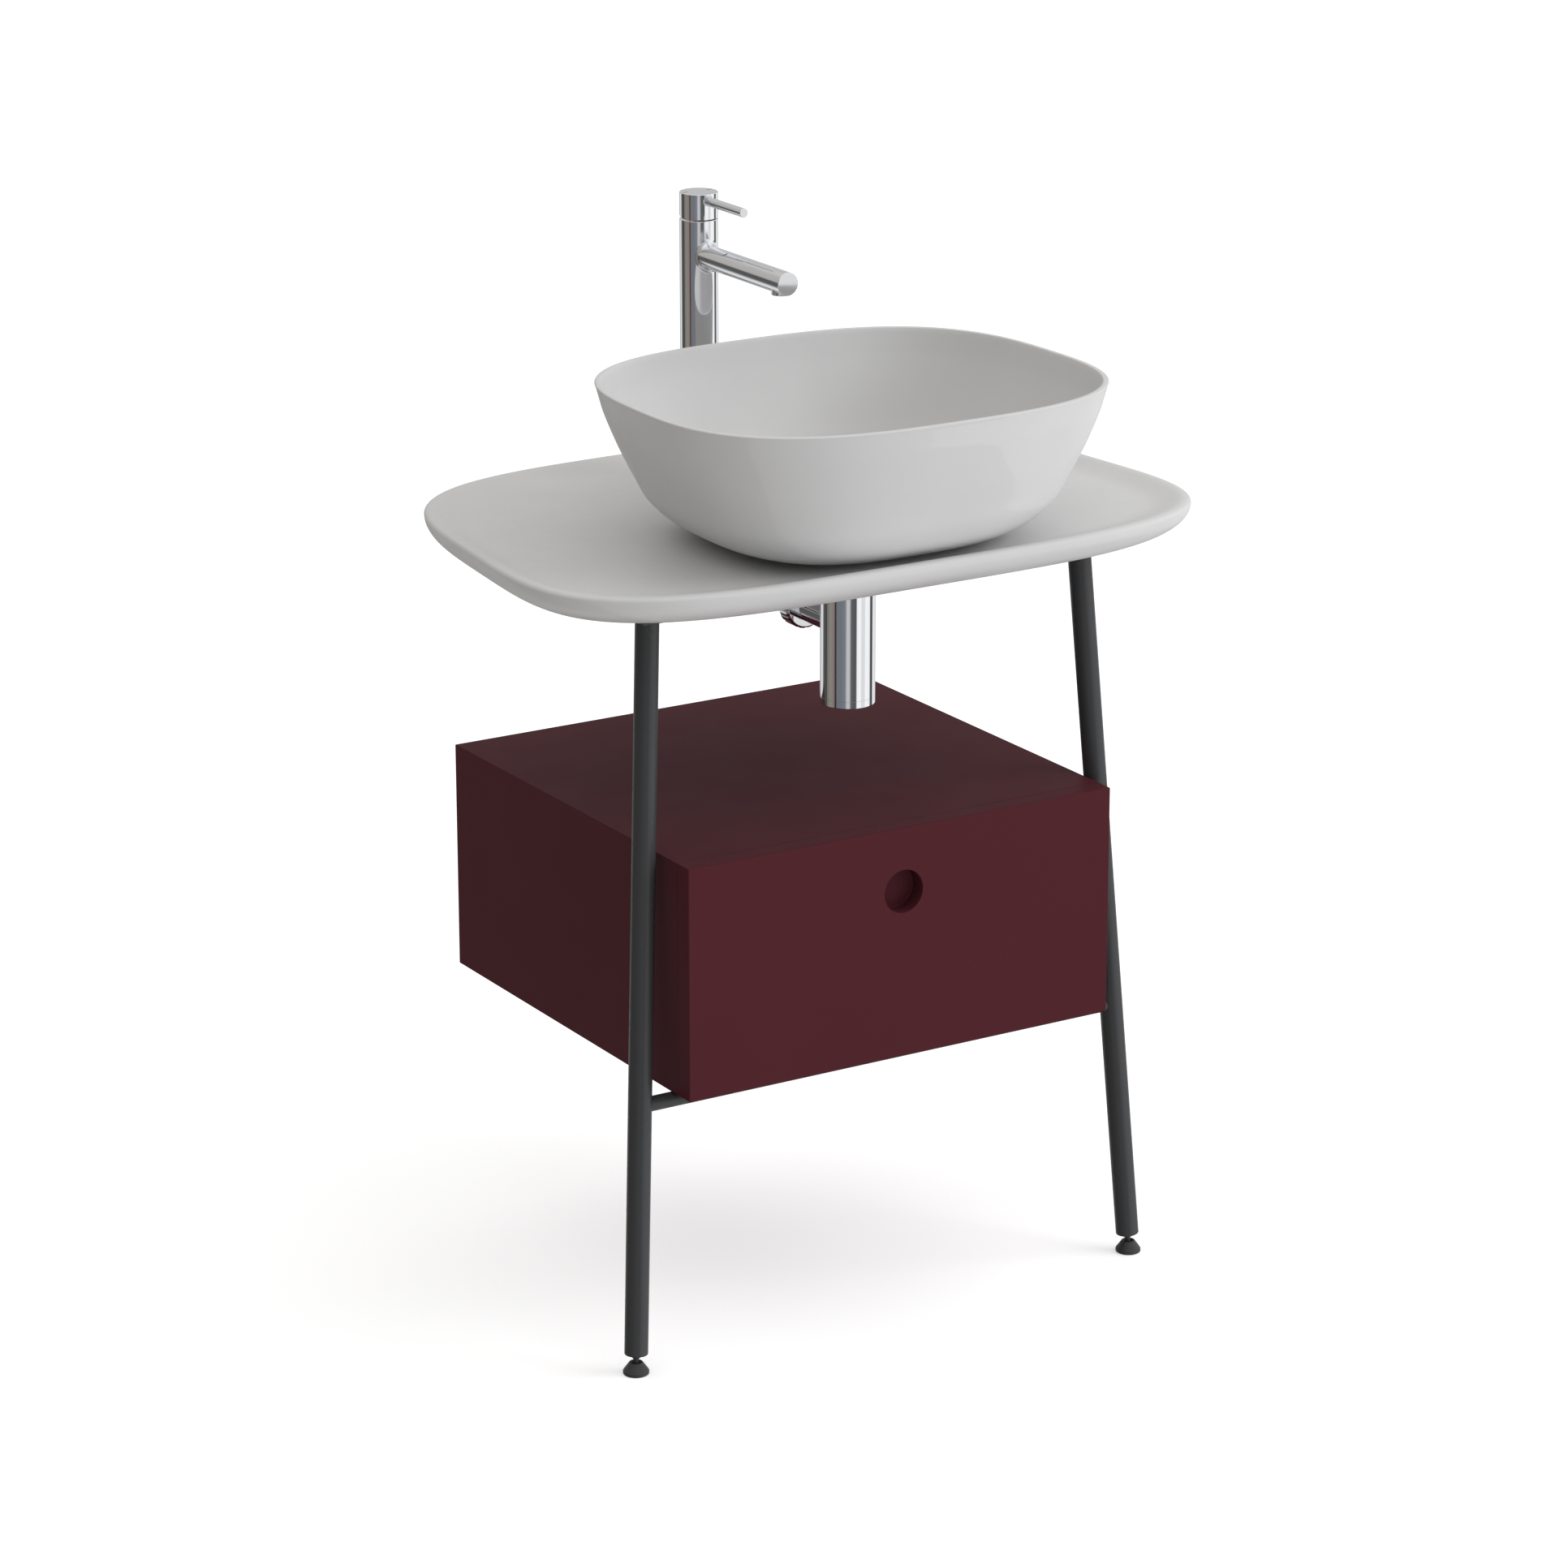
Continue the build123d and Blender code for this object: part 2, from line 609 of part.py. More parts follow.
with BuildPart() as crossbar:
    rod_x(crossbar_y, crossbar_z, crossbar_radius, -crossbar_x, crossbar_x)
    for side, word in sides:
        with BuildSketch(leg_plane(side, crossbar_z - 40)):
            Circle(leg_radius)
        extrude(amount=80, mode=Mode.SUBTRACT)
save(crossbar, "crossbar")

with BuildPart() as rest_pads:
    for side, word in sides:
        x = side * (box_width / 2 - rest_pad_inset)
        bar(x - 15, x + 15, crossbar_y - 5, crossbar_y + 5, crossbar_z, box_bottom_height)
    rod_x(crossbar_y, crossbar_z, crossbar_radius, -crossbar_x, crossbar_x, mode=Mode.SUBTRACT)
save(rest_pads, "rest_pads")

# Three square tubes welded into a frame that is open towards the wall.
with BuildPart() as top_rails:
    side_inner = leg_top_x - side_rail_width / 2
    front_edge = front_rail_y - front_rail_width / 2
    bar(-side_inner, side_inner, front_edge, front_edge + front_rail_width, rail_bottom, rail_top)
    bar(-side_inner, side_inner, front_edge + rail_wall, front_edge + front_rail_width - rail_wall,
        rail_bottom + rail_wall, rail_top - rail_wall, mode=Mode.SUBTRACT)
    plate_y = wall_y - wall_plate_thickness
    for side, word in sides:
        inner = side * side_inner
        outer = side * (side_inner + side_rail_width)
        bar(inner, outer, front_edge, plate_y, rail_bottom, rail_top)
        bar(inner + side * rail_wall, outer - side * rail_wall, front_edge, plate_y,
            rail_bottom + rail_wall, rail_top - rail_wall, mode=Mode.SUBTRACT)
save(top_rails, "top_rails")

with BuildPart() as wall_plates:
    for side, word in sides:
        plate_x = side * (leg_top_x - wall_plate_offset)
        bar(plate_x - wall_plate_width / 2, plate_x + wall_plate_width / 2, plate_y, wall_y,
            rail_top - wall_plate_height, rail_top)
        for step in (-1, 1):
            rod_y(plate_x + step * wall_hole_spacing / 2, rail_top - wall_plate_height + wall_hole_rise,
                  wall_hole_radius, plate_y, wall_y, mode=Mode.SUBTRACT)
save(wall_plates, "wall_plates")

# Each stem ends in a ball that sits in the pad's socket, so the pad lies flat under a leaning leg.
stem_top = insert_top - 4
for side, word in sides:
    ball = leg_plane(side, foot_ball_height).origin
    with BuildPart() as foot_stem:
        with Locations(ball):
            Sphere(foot_ball_radius)
        with BuildSketch(leg_plane(side, foot_ball_height)):
            Circle(foot_neck_radius)
        extrude(amount=(leg_end_height - 4 - foot_ball_height) * leg_stretch)
        with BuildSketch(leg_plane(side, leg_end_height - 4)):
            Circle(foot_stem_radius)
        extrude(amount=(stem_top - leg_end_height + 4) * leg_stretch)
    save(foot_stem, f"{word}_foot_stem")

    with BuildPart() as foot_pad:
        with BuildSketch(Plane.XZ.offset(-ball.Y)):
            with BuildLine():
                Polyline((ball.X, 0), (ball.X + pad_radius - 0.8, 0), (ball.X + pad_radius, 0.8),
                         (ball.X + pad_radius, pad_rim), (ball.X + pad_mouth_radius + 1.0, pad_height),
                         (ball.X, pad_height), close=True)
            make_face()
        revolve(axis=Axis((ball.X, ball.Y, 0), (0, 0, 1)))
        with Locations(ball):
            Sphere(foot_ball_radius + running, mode=Mode.SUBTRACT)
        with Locations((ball.X, ball.Y, foot_ball_height + 2 + (pad_height - foot_ball_height - 2) / 2)):
            Cone(pad_throat_radius, pad_mouth_radius, pad_height - foot_ball_height - 2, mode=Mode.SUBTRACT)
    save(foot_pad, f"{word}_foot_pad")

# ---------------------------------------------------------------- drawer unit, fixed pieces
half_box = box_width / 2
for name, z0 in (("carcass_top", box_top - panel), ("carcass_bottom", box_bottom_height)):
    with BuildPart() as board:
        bar(-half_box, half_box, carcass_front, wall_y, z0, z0 + panel)
    save(board, name)

for side, word in sides:
    with BuildPart() as board:
        bar(side * inner_half_width, side * half_box, carcass_front, wall_y,
            box_bottom_height + panel, box_top - panel)
    save(board, f"carcass_{word}")

back_y = wall_y - back_recess - panel
with BuildPart() as carcass_back:
    bar(-inner_half_width, inner_half_width, back_y, back_y + panel,
        box_bottom_height + panel, box_top - panel)
save(carcass_back, "carcass_back")

# The wall rail's lip stands off the wall, and the two hangers hook over it.
rail_strip = 3.0
strip_height = 40.0
strip_top = box_top - panel - 25.0
strip_half = inner_half_width - 30.0
lip_y = wall_y - 10.0
lip_z = strip_top - 14.0
hook_y = wall_y - back_recess
wall_rail_holes = 200.0
with BuildPart() as wall_rail:
    bar(-strip_half, strip_half, wall_y - rail_strip, wall_y, strip_top - strip_height, strip_top)
    bar(-strip_half, strip_half, lip_y, wall_y - rail_strip, lip_z, lip_z + rail_strip)
    bar(-strip_half, strip_half, lip_y, lip_y + rail_strip, lip_z, strip_top)
    for side, word in sides:
        rod_y(side * wall_rail_holes / 2, strip_top - strip_height + 10, 3.25,
              wall_y - rail_strip, wall_y, mode=Mode.SUBTRACT)
save(wall_rail, "wall_rail")

with BuildPart() as hangers:
    for side, word in sides:
        x = side * (strip_half - 30)
        bar(x - 15, x + 15, hook_y, hook_y + 3, strip_top - 30, strip_top + 3)
        bar(x - 15, x + 15, hook_y, wall_y - rail_strip - 1, strip_top, strip_top + 3)
        bar(x - 15, x + 15, lip_y + rail_strip + 0.5, wall_y - rail_strip - 1, strip_top - 9, strip_top)
save(hangers, "hangers")


# ---------------------------------------------------------------- drawer and slides
def channel(x_web, x_tip, height, sheet):
    """A rail of bent sheet: an upright web with a flange along its top and its bottom."""
    toward = 1 if x_tip > x_web else -1
    z0 = slide_z - height / 2
    z1 = slide_z + height / 2
    bar(x_web, x_web + toward * sheet, slide_front, slide_front + slide_length, z0, z1)
    bar(x_web, x_tip, slide_front, slide_front + slide_length, z0, z0 + sheet)
    bar(x_web, x_tip, slide_front, slide_front + slide_length, z1 - sheet, z1)


middle_height = slide_height - 2 * (slide_sheet + clearance)
inner_height = middle_height - 2 * (slide_sheet + clearance)
middle_web = inner_half_width - slide_sheet - clearance
inner_tip = middle_web - slide_sheet - clearance
with BuildPart() as slide_outer_rails:
    for side, word in sides:
        channel(side * inner_half_width, side * (inner_half_width - 8.5), slide_height, slide_sheet)
save(slide_outer_rails, "slide_outer_rails")

with BuildPart() as slide_middle_rails:
    for side, word in sides:
        channel(side * middle_web, side * (middle_web - 8.0), middle_height, slide_sheet)
save(slide_middle_rails, "slide_middle_rails")

with BuildPart() as slide_inner_rails:
    for side, word in sides:
        channel(side * drawer_half_width, side * inner_tip, inner_height, slide_sheet)
save(slide_inner_rails, "slide_inner_rails")

panel_back = front_y + front_thickness
with BuildPart() as drawer_front:
    bar(-half_box, half_box, front_y, panel_back, box_bottom_height, box_top)
    rod_y(0, box_top - finger_hole_drop, finger_hole_radius, front_y,
          panel_back - finger_hole_skin, mode=Mode.SUBTRACT)
    chamfer(drawer_front.edges().filter_by(GeomType.CIRCLE).group_by(Axis.Y)[0], 0.8)
save(drawer_front, "drawer_front")

drawer_back_y = panel_back + drawer_length
for side, word in sides:
    with BuildPart() as board:
        bar(side * (drawer_half_width - drawer_side), side * drawer_half_width, panel_back, drawer_back_y,
            drawer_z, drawer_z + drawer_side_height)
    save(board, f"drawer_{word}")

with BuildPart() as drawer_back:
    bar(-drawer_half_width + drawer_side, drawer_half_width - drawer_side,
        drawer_back_y - drawer_side, drawer_back_y, drawer_z + drawer_bottom_thickness,
        drawer_z + drawer_side_height)
save(drawer_back, "drawer_back")

with BuildPart() as drawer_bottom:
    bar(-drawer_half_width + drawer_side, drawer_half_width - drawer_side, panel_back, drawer_back_y,
        drawer_z, drawer_z + drawer_bottom_thickness)
save(drawer_bottom, "drawer_bottom")

# Countersunk heads lie inside the box, on the web of each inner rail.
with BuildPart() as drawer_screws:
    for side, word in sides:
        for step in (0, 1, 2):
            y = slide_front + 40 + step * (slide_length - 80) / 2
            rod_x(y, slide_z, screw_head_radius, side * (drawer_half_width + slide_sheet),
                  side * (drawer_half_width + slide_sheet + screw_head_height))
save(drawer_screws, "drawer_screws")
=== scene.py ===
"""Looks of the vessel sink on its vanity stand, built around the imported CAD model.

Metres. X is across the width, +Y points to the wall and +Z is up, as in the CAD frame.
"""

import json
import math
from math import cos, pi, radians, sin, sqrt

import bmesh
import bpy
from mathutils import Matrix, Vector


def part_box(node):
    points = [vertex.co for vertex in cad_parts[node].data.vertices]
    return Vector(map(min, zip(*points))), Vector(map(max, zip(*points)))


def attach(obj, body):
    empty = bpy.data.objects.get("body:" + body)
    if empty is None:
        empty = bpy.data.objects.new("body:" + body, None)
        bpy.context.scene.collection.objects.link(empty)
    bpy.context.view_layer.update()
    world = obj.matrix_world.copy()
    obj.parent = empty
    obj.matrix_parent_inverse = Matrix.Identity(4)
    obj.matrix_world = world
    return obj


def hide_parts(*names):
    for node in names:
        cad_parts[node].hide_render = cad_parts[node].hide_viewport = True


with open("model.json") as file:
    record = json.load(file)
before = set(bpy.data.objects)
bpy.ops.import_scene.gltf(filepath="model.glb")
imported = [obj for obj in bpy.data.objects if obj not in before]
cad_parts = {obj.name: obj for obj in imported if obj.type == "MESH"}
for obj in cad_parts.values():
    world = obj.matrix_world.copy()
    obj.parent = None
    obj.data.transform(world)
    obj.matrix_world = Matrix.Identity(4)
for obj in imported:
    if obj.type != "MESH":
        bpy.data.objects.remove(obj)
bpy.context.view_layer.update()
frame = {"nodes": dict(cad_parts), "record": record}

MM = 0.001
VERTICAL = Vector((0, 0, 1))
ALONG_Y = Vector((0, 1, 0))
ON_AXIS = 1e-9                  # a radius below this is a pole
WASTE_HOLE_RADIUS = 23 * MM     # the same through the bowl and the counter
MIXER_HOLE_RADIUS = 17.5 * MM


# ---------------------------------------------------------------- mesh helpers
def middle(node):
    low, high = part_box(node)
    return (low + high) / 2


def quarter(steps):
    """Sine and cosine at even steps over a quarter turn, both ends included."""
    turns = [radians(90 * step / steps) for step in range(steps + 1)]
    return [(sin(turn), cos(turn)) for turn in turns]


def catmull(points, steps):
    """A smooth line through the points, each a tuple of numbers, steps to a span."""
    padded = [points[0], *points, points[-1]]
    line = []
    for i in range(len(points) - 1):
        p0, p1, p2, p3 = padded[i:i + 4]
        for step in range(steps):
            t = step / steps
            line.append(tuple(
                0.5 * (2 * b + (c - a) * t + (2 * a - 5 * b + 4 * c - d) * t * t
                       + (3 * b - a - 3 * c + d) * t ** 3)
                for a, b, c, d in zip(p0, p1, p2, p3)))
    line.append(points[-1])
    return line


def rounded(points, radius, steps=6):
    """A polyline of (r, h) points with an arc at every corner whose radius is above zero."""
    line = [points[0]]
    for i in range(1, len(points) - 1):
        size = radius[i] if isinstance(radius, (list, tuple)) else radius
        corner = Vector(points[i])
        before = Vector(points[i - 1]) - corner
        after = Vector(points[i + 1]) - corner
        half = before.angle(after) / 2
        if size <= 0 or half > radians(88):
            line.append(tuple(corner))
            continue
        reach = min(size / math.tan(half), 0.49 * before.length, 0.49 * after.length)
        size = reach * math.tan(half)
        centre = corner + (before.normalized() + after.normalized()).normalized() * size / sin(half)
        start = corner + before.normalized() * reach - centre
        end = corner + after.normalized() * reach - centre
        turn = start.angle_signed(end)
        for step in range(steps + 1):
            a = -turn * step / steps
            spoke = Vector((start.x * cos(a) - start.y * sin(a), start.x * sin(a) + start.y * cos(a)))
            line.append(tuple(centre + spoke))
    line.append(points[-1])
    return line


def piece_from(bm, name, body, slot, replaces=(), sharp=35):
    """A finished object from a bmesh: smooth, with crisp edges kept and flat faces shaded flat."""
    bmesh.ops.recalc_face_normals(bm, faces=bm.faces)
    mesh = bpy.data.meshes.new(name)
    bm.to_mesh(mesh)
    bm.free()
    mesh.polygons.foreach_set("use_smooth", [True] * len(mesh.polygons))
    mesh.set_sharp_from_angle(angle=radians(sharp))
    obj = bpy.data.objects.new(name, mesh)
    bpy.context.scene.collection.objects.link(obj)
    mesh.materials.append(materials[slot])
    weighted = obj.modifiers.new("even_shading", "WEIGHTED_NORMAL")
    weighted.keep_sharp = True
    weighted.weight = 80
    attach(obj, body)
    if replaces:
        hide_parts(*replaces)
    return obj


def skin(bm, rings, closed=False):
    """Quads between rings of vertices with equal counts. A ring of one vertex is a pole."""
    pairs = list(zip(rings, rings[1:]))
    if closed:
        pairs.append((rings[-1], rings[0]))
    for low, high in pairs:
        count = max(len(low), len(high))
        for i in range(count):
            j = (i + 1) % count
            corners = [low[i % len(low)], low[j % len(low)], high[j % len(high)], high[i % len(high)]]
            face = []
            for v in corners:
                if v not in face:
                    face.append(v)
            bm.faces.new(face)


def lathe_into(bm, profile, origin, axis, segments=96):
    """A profile of (r, h) points turned about an axis.

    A profile that starts off the axis is closed on itself.
    """
    turn = VERTICAL.rotation_difference(Vector(axis)).to_matrix()
    rings = []
    for r, h in profile:
        if r < ON_AXIS:
            rings.append([bm.verts.new(Vector(origin) + turn @ Vector((0, 0, h)))])
            continue
        rings.append([bm.verts.new(Vector(origin) + turn @ Vector((r * cos(a), r * sin(a), h)))
                      for a in (2 * pi * k / segments for k in range(segments))])
    skin(bm, rings, closed=profile[0][0] > ON_AXIS)


def lathe(name, profile, origin, axis, body, slot, replaces=(), segments=96):
    """A turned piece of its own."""
    bm = bmesh.new()
    lathe_into(bm, profile, origin, axis, segments)
    piece_from(bm, name, body, slot, replaces)


def board(node, radius, body):
    """A melamine board, eased all round, that stands for a box-shaped CAD node."""
    bm = bmesh.new()
    low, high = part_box(node)
    made = bmesh.ops.create_cube(bm, size=1)["verts"]
    for v in made:
        v.co = Vector(((low[i] + high[i]) / 2 + v.co[i] * (high[i] - low[i])) for i in range(3))
    edges = {e for v in made for e in v.link_edges}
    bmesh.ops.bevel(bm, geom=list(edges), offset=radius, segments=3, profile=0.5, affect="EDGES")
    piece_from(bm, f"{node}_board", body, "drawer_board", [node])


# ---------------------------------------------------------------- materials
def new_material(name):
    material = bpy.data.materials.new(name)
    material.use_nodes = True
    tree = material.node_tree
    shader = tree.nodes["Principled BSDF"]
    place = tree.nodes.new("ShaderNodeTexCoord").outputs["Object"]
    return material, tree, shader, place


def noise(tree, place, scale, detail=4.0, stretch=(1, 1, 1), roughness=0.5):
    """The factor of a noise texture, fixed to the piece."""
    mapping = tree.nodes.new("ShaderNodeMapping")
    mapping.inputs["Scale"].default_value = stretch
    tree.links.new(place, mapping.inputs["Vector"])
    texture = tree.nodes.new("ShaderNodeTexNoise")
    texture.inputs["Scale"].default_value = scale
    texture.inputs["Detail"].default_value = detail
    texture.inputs["Roughness"].default_value = roughness
    tree.links.new(mapping.outputs["Vector"], texture.inputs["Vector"])
    return texture.outputs["Fac"]


def spread(tree, factor, low, high, narrow=0.3):
    """A number that runs from low to high with the factor."""
    node = tree.nodes.new("ShaderNodeMapRange")
    node.inputs["From Min"].default_value = narrow
    node.inputs["From Max"].default_value = 1 - narrow
    node.inputs["To Min"].default_value = low
    node.inputs["To Max"].default_value = high
    tree.links.new(factor, node.inputs["Value"])
    return node.outputs["Result"]


def tint(tree, factor, dark, light, narrow=0.3):
    """A colour between dark and light."""
    ramp = tree.nodes.new("ShaderNodeValToRGB")
    ramp.color_ramp.elements[0].position = narrow
    ramp.color_ramp.elements[1].position = 1 - narrow
    ramp.color_ramp.elements[0].color = (*dark, 1)
    ramp.color_ramp.elements[1].color = (*light, 1)
    tree.links.new(factor, ramp.inputs["Fac"])
    return ramp.outputs["Color"]


def bump(tree, shader, height, strength, distance, below=None):
    """Relief on the shader's normal, laid over the relief below it where there is one."""
    node = tree.nodes.new("ShaderNodeBump")
    node.inputs["Strength"].default_value = strength
    node.inputs["Distance"].default_value = distance
    tree.links.new(height, node.inputs["Height"])
    if below is not None:
        tree.links.new(below, node.inputs["Normal"])
    tree.links.new(node.outputs["Normal"], shader.inputs["Normal"])
    return node.outputs["Normal"]


def shade(color, share):
    """The colour made darker, or lighter where share is above one."""
    return tuple(channel * share for channel in color)


def matt_glaze():
    """Off-white matt glaze: an even body with a faint cloudiness and a silky, barely pitted skin."""
    material, tree, shader, place = new_material("matt_glaze")
    white = (0.642, 0.639, 0.637)
    cloud = noise(tree, place, 7, 5)
    tree.links.new(tint(tree, cloud, shade(white, 0.975), shade(white, 1.02)), shader.inputs["Base Color"])
    tree.links.new(spread(tree, noise(tree, place, 60, 3), 0.36, 0.46), shader.inputs["Roughness"])
    wave = bump(tree, shader, noise(tree, place, 45, 2), 0.06, 0.0006)
    bump(tree, shader, noise(tree, place, 1400, 3), 0.05, 0.00006, wave)
    shader.inputs["Specular IOR Level"].default_value = 0.42
    return material


def lacquer():
    """Burgundy matt lacquer: a sprayed film with a fine orange peel and slow changes of tone."""
    material, tree, shader, place = new_material("burgundy_lacquer")
    base = (0.080, 0.0182, 0.0243)
    tone = noise(tree, place, 4, 6)
    tree.links.new(tint(tree, tone, shade(base, 0.965), shade(base, 1.03)), shader.inputs["Base Color"])
    tree.links.new(spread(tree, noise(tree, place, 14, 2), 0.49, 0.53), shader.inputs["Roughness"])
    peel = bump(tree, shader, noise(tree, place, 520, 2), 0.035, 0.0001)
    bump(tree, shader, noise(tree, place, 2600, 2), 0.03, 0.00003, peel)
    shader.inputs["Specular IOR Level"].default_value = 0.035
    return material


def powder_coat():
    """Dark grey powder coat: a fine, slightly pebbled skin."""
    material, tree, shader, place = new_material("dark_powder_coat")
    base = (0.045, 0.0465, 0.0485)
    grain = noise(tree, place, 1500, 2)
    tree.links.new(tint(tree, grain, shade(base, 0.85), shade(base, 1.12)), shader.inputs["Base Color"])
    tree.links.new(spread(tree, noise(tree, place, 220, 4), 0.36, 0.48), shader.inputs["Roughness"])
    pebble = bump(tree, shader, noise(tree, place, 700, 3), 0.16, 0.0002)
    bump(tree, shader, grain, 0.08, 0.00006, pebble)
    shader.inputs["Specular IOR Level"].default_value = 0.4
    return material


def polished_chrome():
    """Bright chrome plate with the faint haze of handling."""
    material, tree, shader, place = new_material("polished_chrome")
    base = (0.80, 0.81, 0.83)
    haze = noise(tree, place, 26, 5)
    tree.links.new(tint(tree, haze, shade(base, 0.985), shade(base, 1.01)), shader.inputs["Base Color"])
    tree.links.new(spread(tree, haze, 0.035, 0.075), shader.inputs["Roughness"])
    bump(tree, shader, noise(tree, place, 30, 1), 0.012, 0.0002)
    shader.inputs["Metallic"].default_value = 1
    return material


def brushed(name, base, stretch, rough, strength=0.1):
    """A metal with fine marks along one direction."""
    material, tree, shader, place = new_material(name)
    marks = noise(tree, place, 900, 4, stretch, 0.65)
    tree.links.new(tint(tree, marks, shade(base, 0.82), shade(base, 1.08)), shader.inputs["Base Color"])
    tree.links.new(spread(tree, noise(tree, place, 40, 4), rough - 0.06, rough + 0.07),
                   shader.inputs["Roughness"])
    bump(tree, shader, marks, strength, 0.00008)
    shader.inputs["Metallic"].default_value = 1
    return material


def rubber():
    """Black rubber with a dull, uneven grain."""
    material, tree, shader, place = new_material("black_rubber")
    base = (0.017, 0.017, 0.018)
    grain = noise(tree, place, 900, 4)
    tree.links.new(tint(tree, grain, shade(base, 0.75), shade(base, 1.35)), shader.inputs["Base Color"])
    tree.links.new(spread(tree, noise(tree, place, 120, 3), 0.68, 0.85), shader.inputs["Roughness"])
    bump(tree, shader, grain, 0.2, 0.0001)
    return material


def moulded_plastic():
    """Dark glass-filled plastic with a spark-eroded mould texture."""
    material, tree, shader, place = new_material("moulded_plastic")
    base = (0.034, 0.034, 0.036)
    grain = noise(tree, place, 1900, 2)
    tree.links.new(tint(tree, grain, shade(base, 0.85), shade(base, 1.15)), shader.inputs["Base Color"])
    tree.links.new(spread(tree, noise(tree, place, 200, 3), 0.42, 0.56), shader.inputs["Roughness"])
    bump(tree, shader, grain, 0.15, 0.00008)
    return material


def melamine():
    """Anthracite melamine board with a pressed, linen-like grain along the board."""
    material, tree, shader, place = new_material("anthracite_melamine")
    base = (0.066, 0.067, 0.071)
    thread_x = noise(tree, place, 700, 2, (1, 0.06, 1))
    thread_y = noise(tree, place, 700, 2, (0.06, 1, 1))
    weave = tree.nodes.new("ShaderNodeMath")
    weave.operation = "MAXIMUM"
    tree.links.new(thread_x, weave.inputs[0])
    tree.links.new(thread_y, weave.inputs[1])
    color = tint(tree, weave.outputs[0], shade(base, 0.78), shade(base, 1.2))
    tree.links.new(color, shader.inputs["Base Color"])
    tree.links.new(spread(tree, noise(tree, place, 60, 3), 0.5, 0.62), shader.inputs["Roughness"])
    bump(tree, shader, weave.outputs[0], 0.18, 0.00012)
    shader.inputs["Specular IOR Level"].default_value = 0.35
    return material


def enamel(name, base):
    """Glossy fired enamel with a slightly uneven surface."""
    material, tree, shader, place = new_material(name)
    pool = noise(tree, place, 500, 3)
    tree.links.new(tint(tree, pool, shade(base, 0.85), shade(base, 1.1)), shader.inputs["Base Color"])
    tree.links.new(spread(tree, pool, 0.15, 0.25), shader.inputs["Roughness"])
    bump(tree, shader, pool, 0.1, 0.0001)
    return material


materials = {
    "ceramic": matt_glaze(),
    "lacquer": lacquer(),
    "powder_coat": powder_coat(),
    "chrome": polished_chrome(),
    "steel": brushed("zinc_plated_steel", (0.56, 0.57, 0.58), (1, 0.08, 1), 0.34),
    "brass": brushed("machined_brass", (0.72, 0.52, 0.24), (0.2, 0.2, 1), 0.24),
    "rubber": rubber(),
    "plastic": moulded_plastic(),
    "drawer_board": melamine(),
    "red_enamel": enamel("red_enamel", (0.45, 0.018, 0.014)),
    "blue_enamel": enamel("blue_enamel", (0.015, 0.06, 0.42)),
}
for part in frame["record"]["subparts"]:
    node = frame["nodes"][part["node"]]
    node.data.materials.clear()
    node.data.materials.append(materials[part["material_slot"]])


# ---------------------------------------------------------------- counter and bowl
def superellipse(half_width, half_depth, power, taper, centre_y, z, count):
    """A ring of points, shaped as the CAD outlines are."""
    ring = []
    for step in range(count):
        angle = 2 * pi * step / count
        c = cos(angle)
        s = sin(angle)
        reach = (abs(c / half_width) ** power + abs(s / half_depth) ** power) ** (-1 / power)
        x = reach * c
        y = reach * s
        ring.append(Vector((x * (1 + taper * y / half_depth), centre_y + y, z)))
    return ring


def circle(x, y, z, radius, count):
    """A level ring of points."""
    return [Vector((x + radius * cos(2 * pi * k / count), y + radius * sin(2 * pi * k / count), z))
            for k in range(count)]


def add_ring(bm, points):
    """New vertices at the points."""
    return [bm.verts.new(p) for p in points]


def ring_edges(bm, ring):
    """The edges round a ring of vertices, made where they are missing."""
    return [bm.edges.get((a, b)) or bm.edges.new((a, b)) for a, b in zip(ring, ring[1:] + ring[:1])]


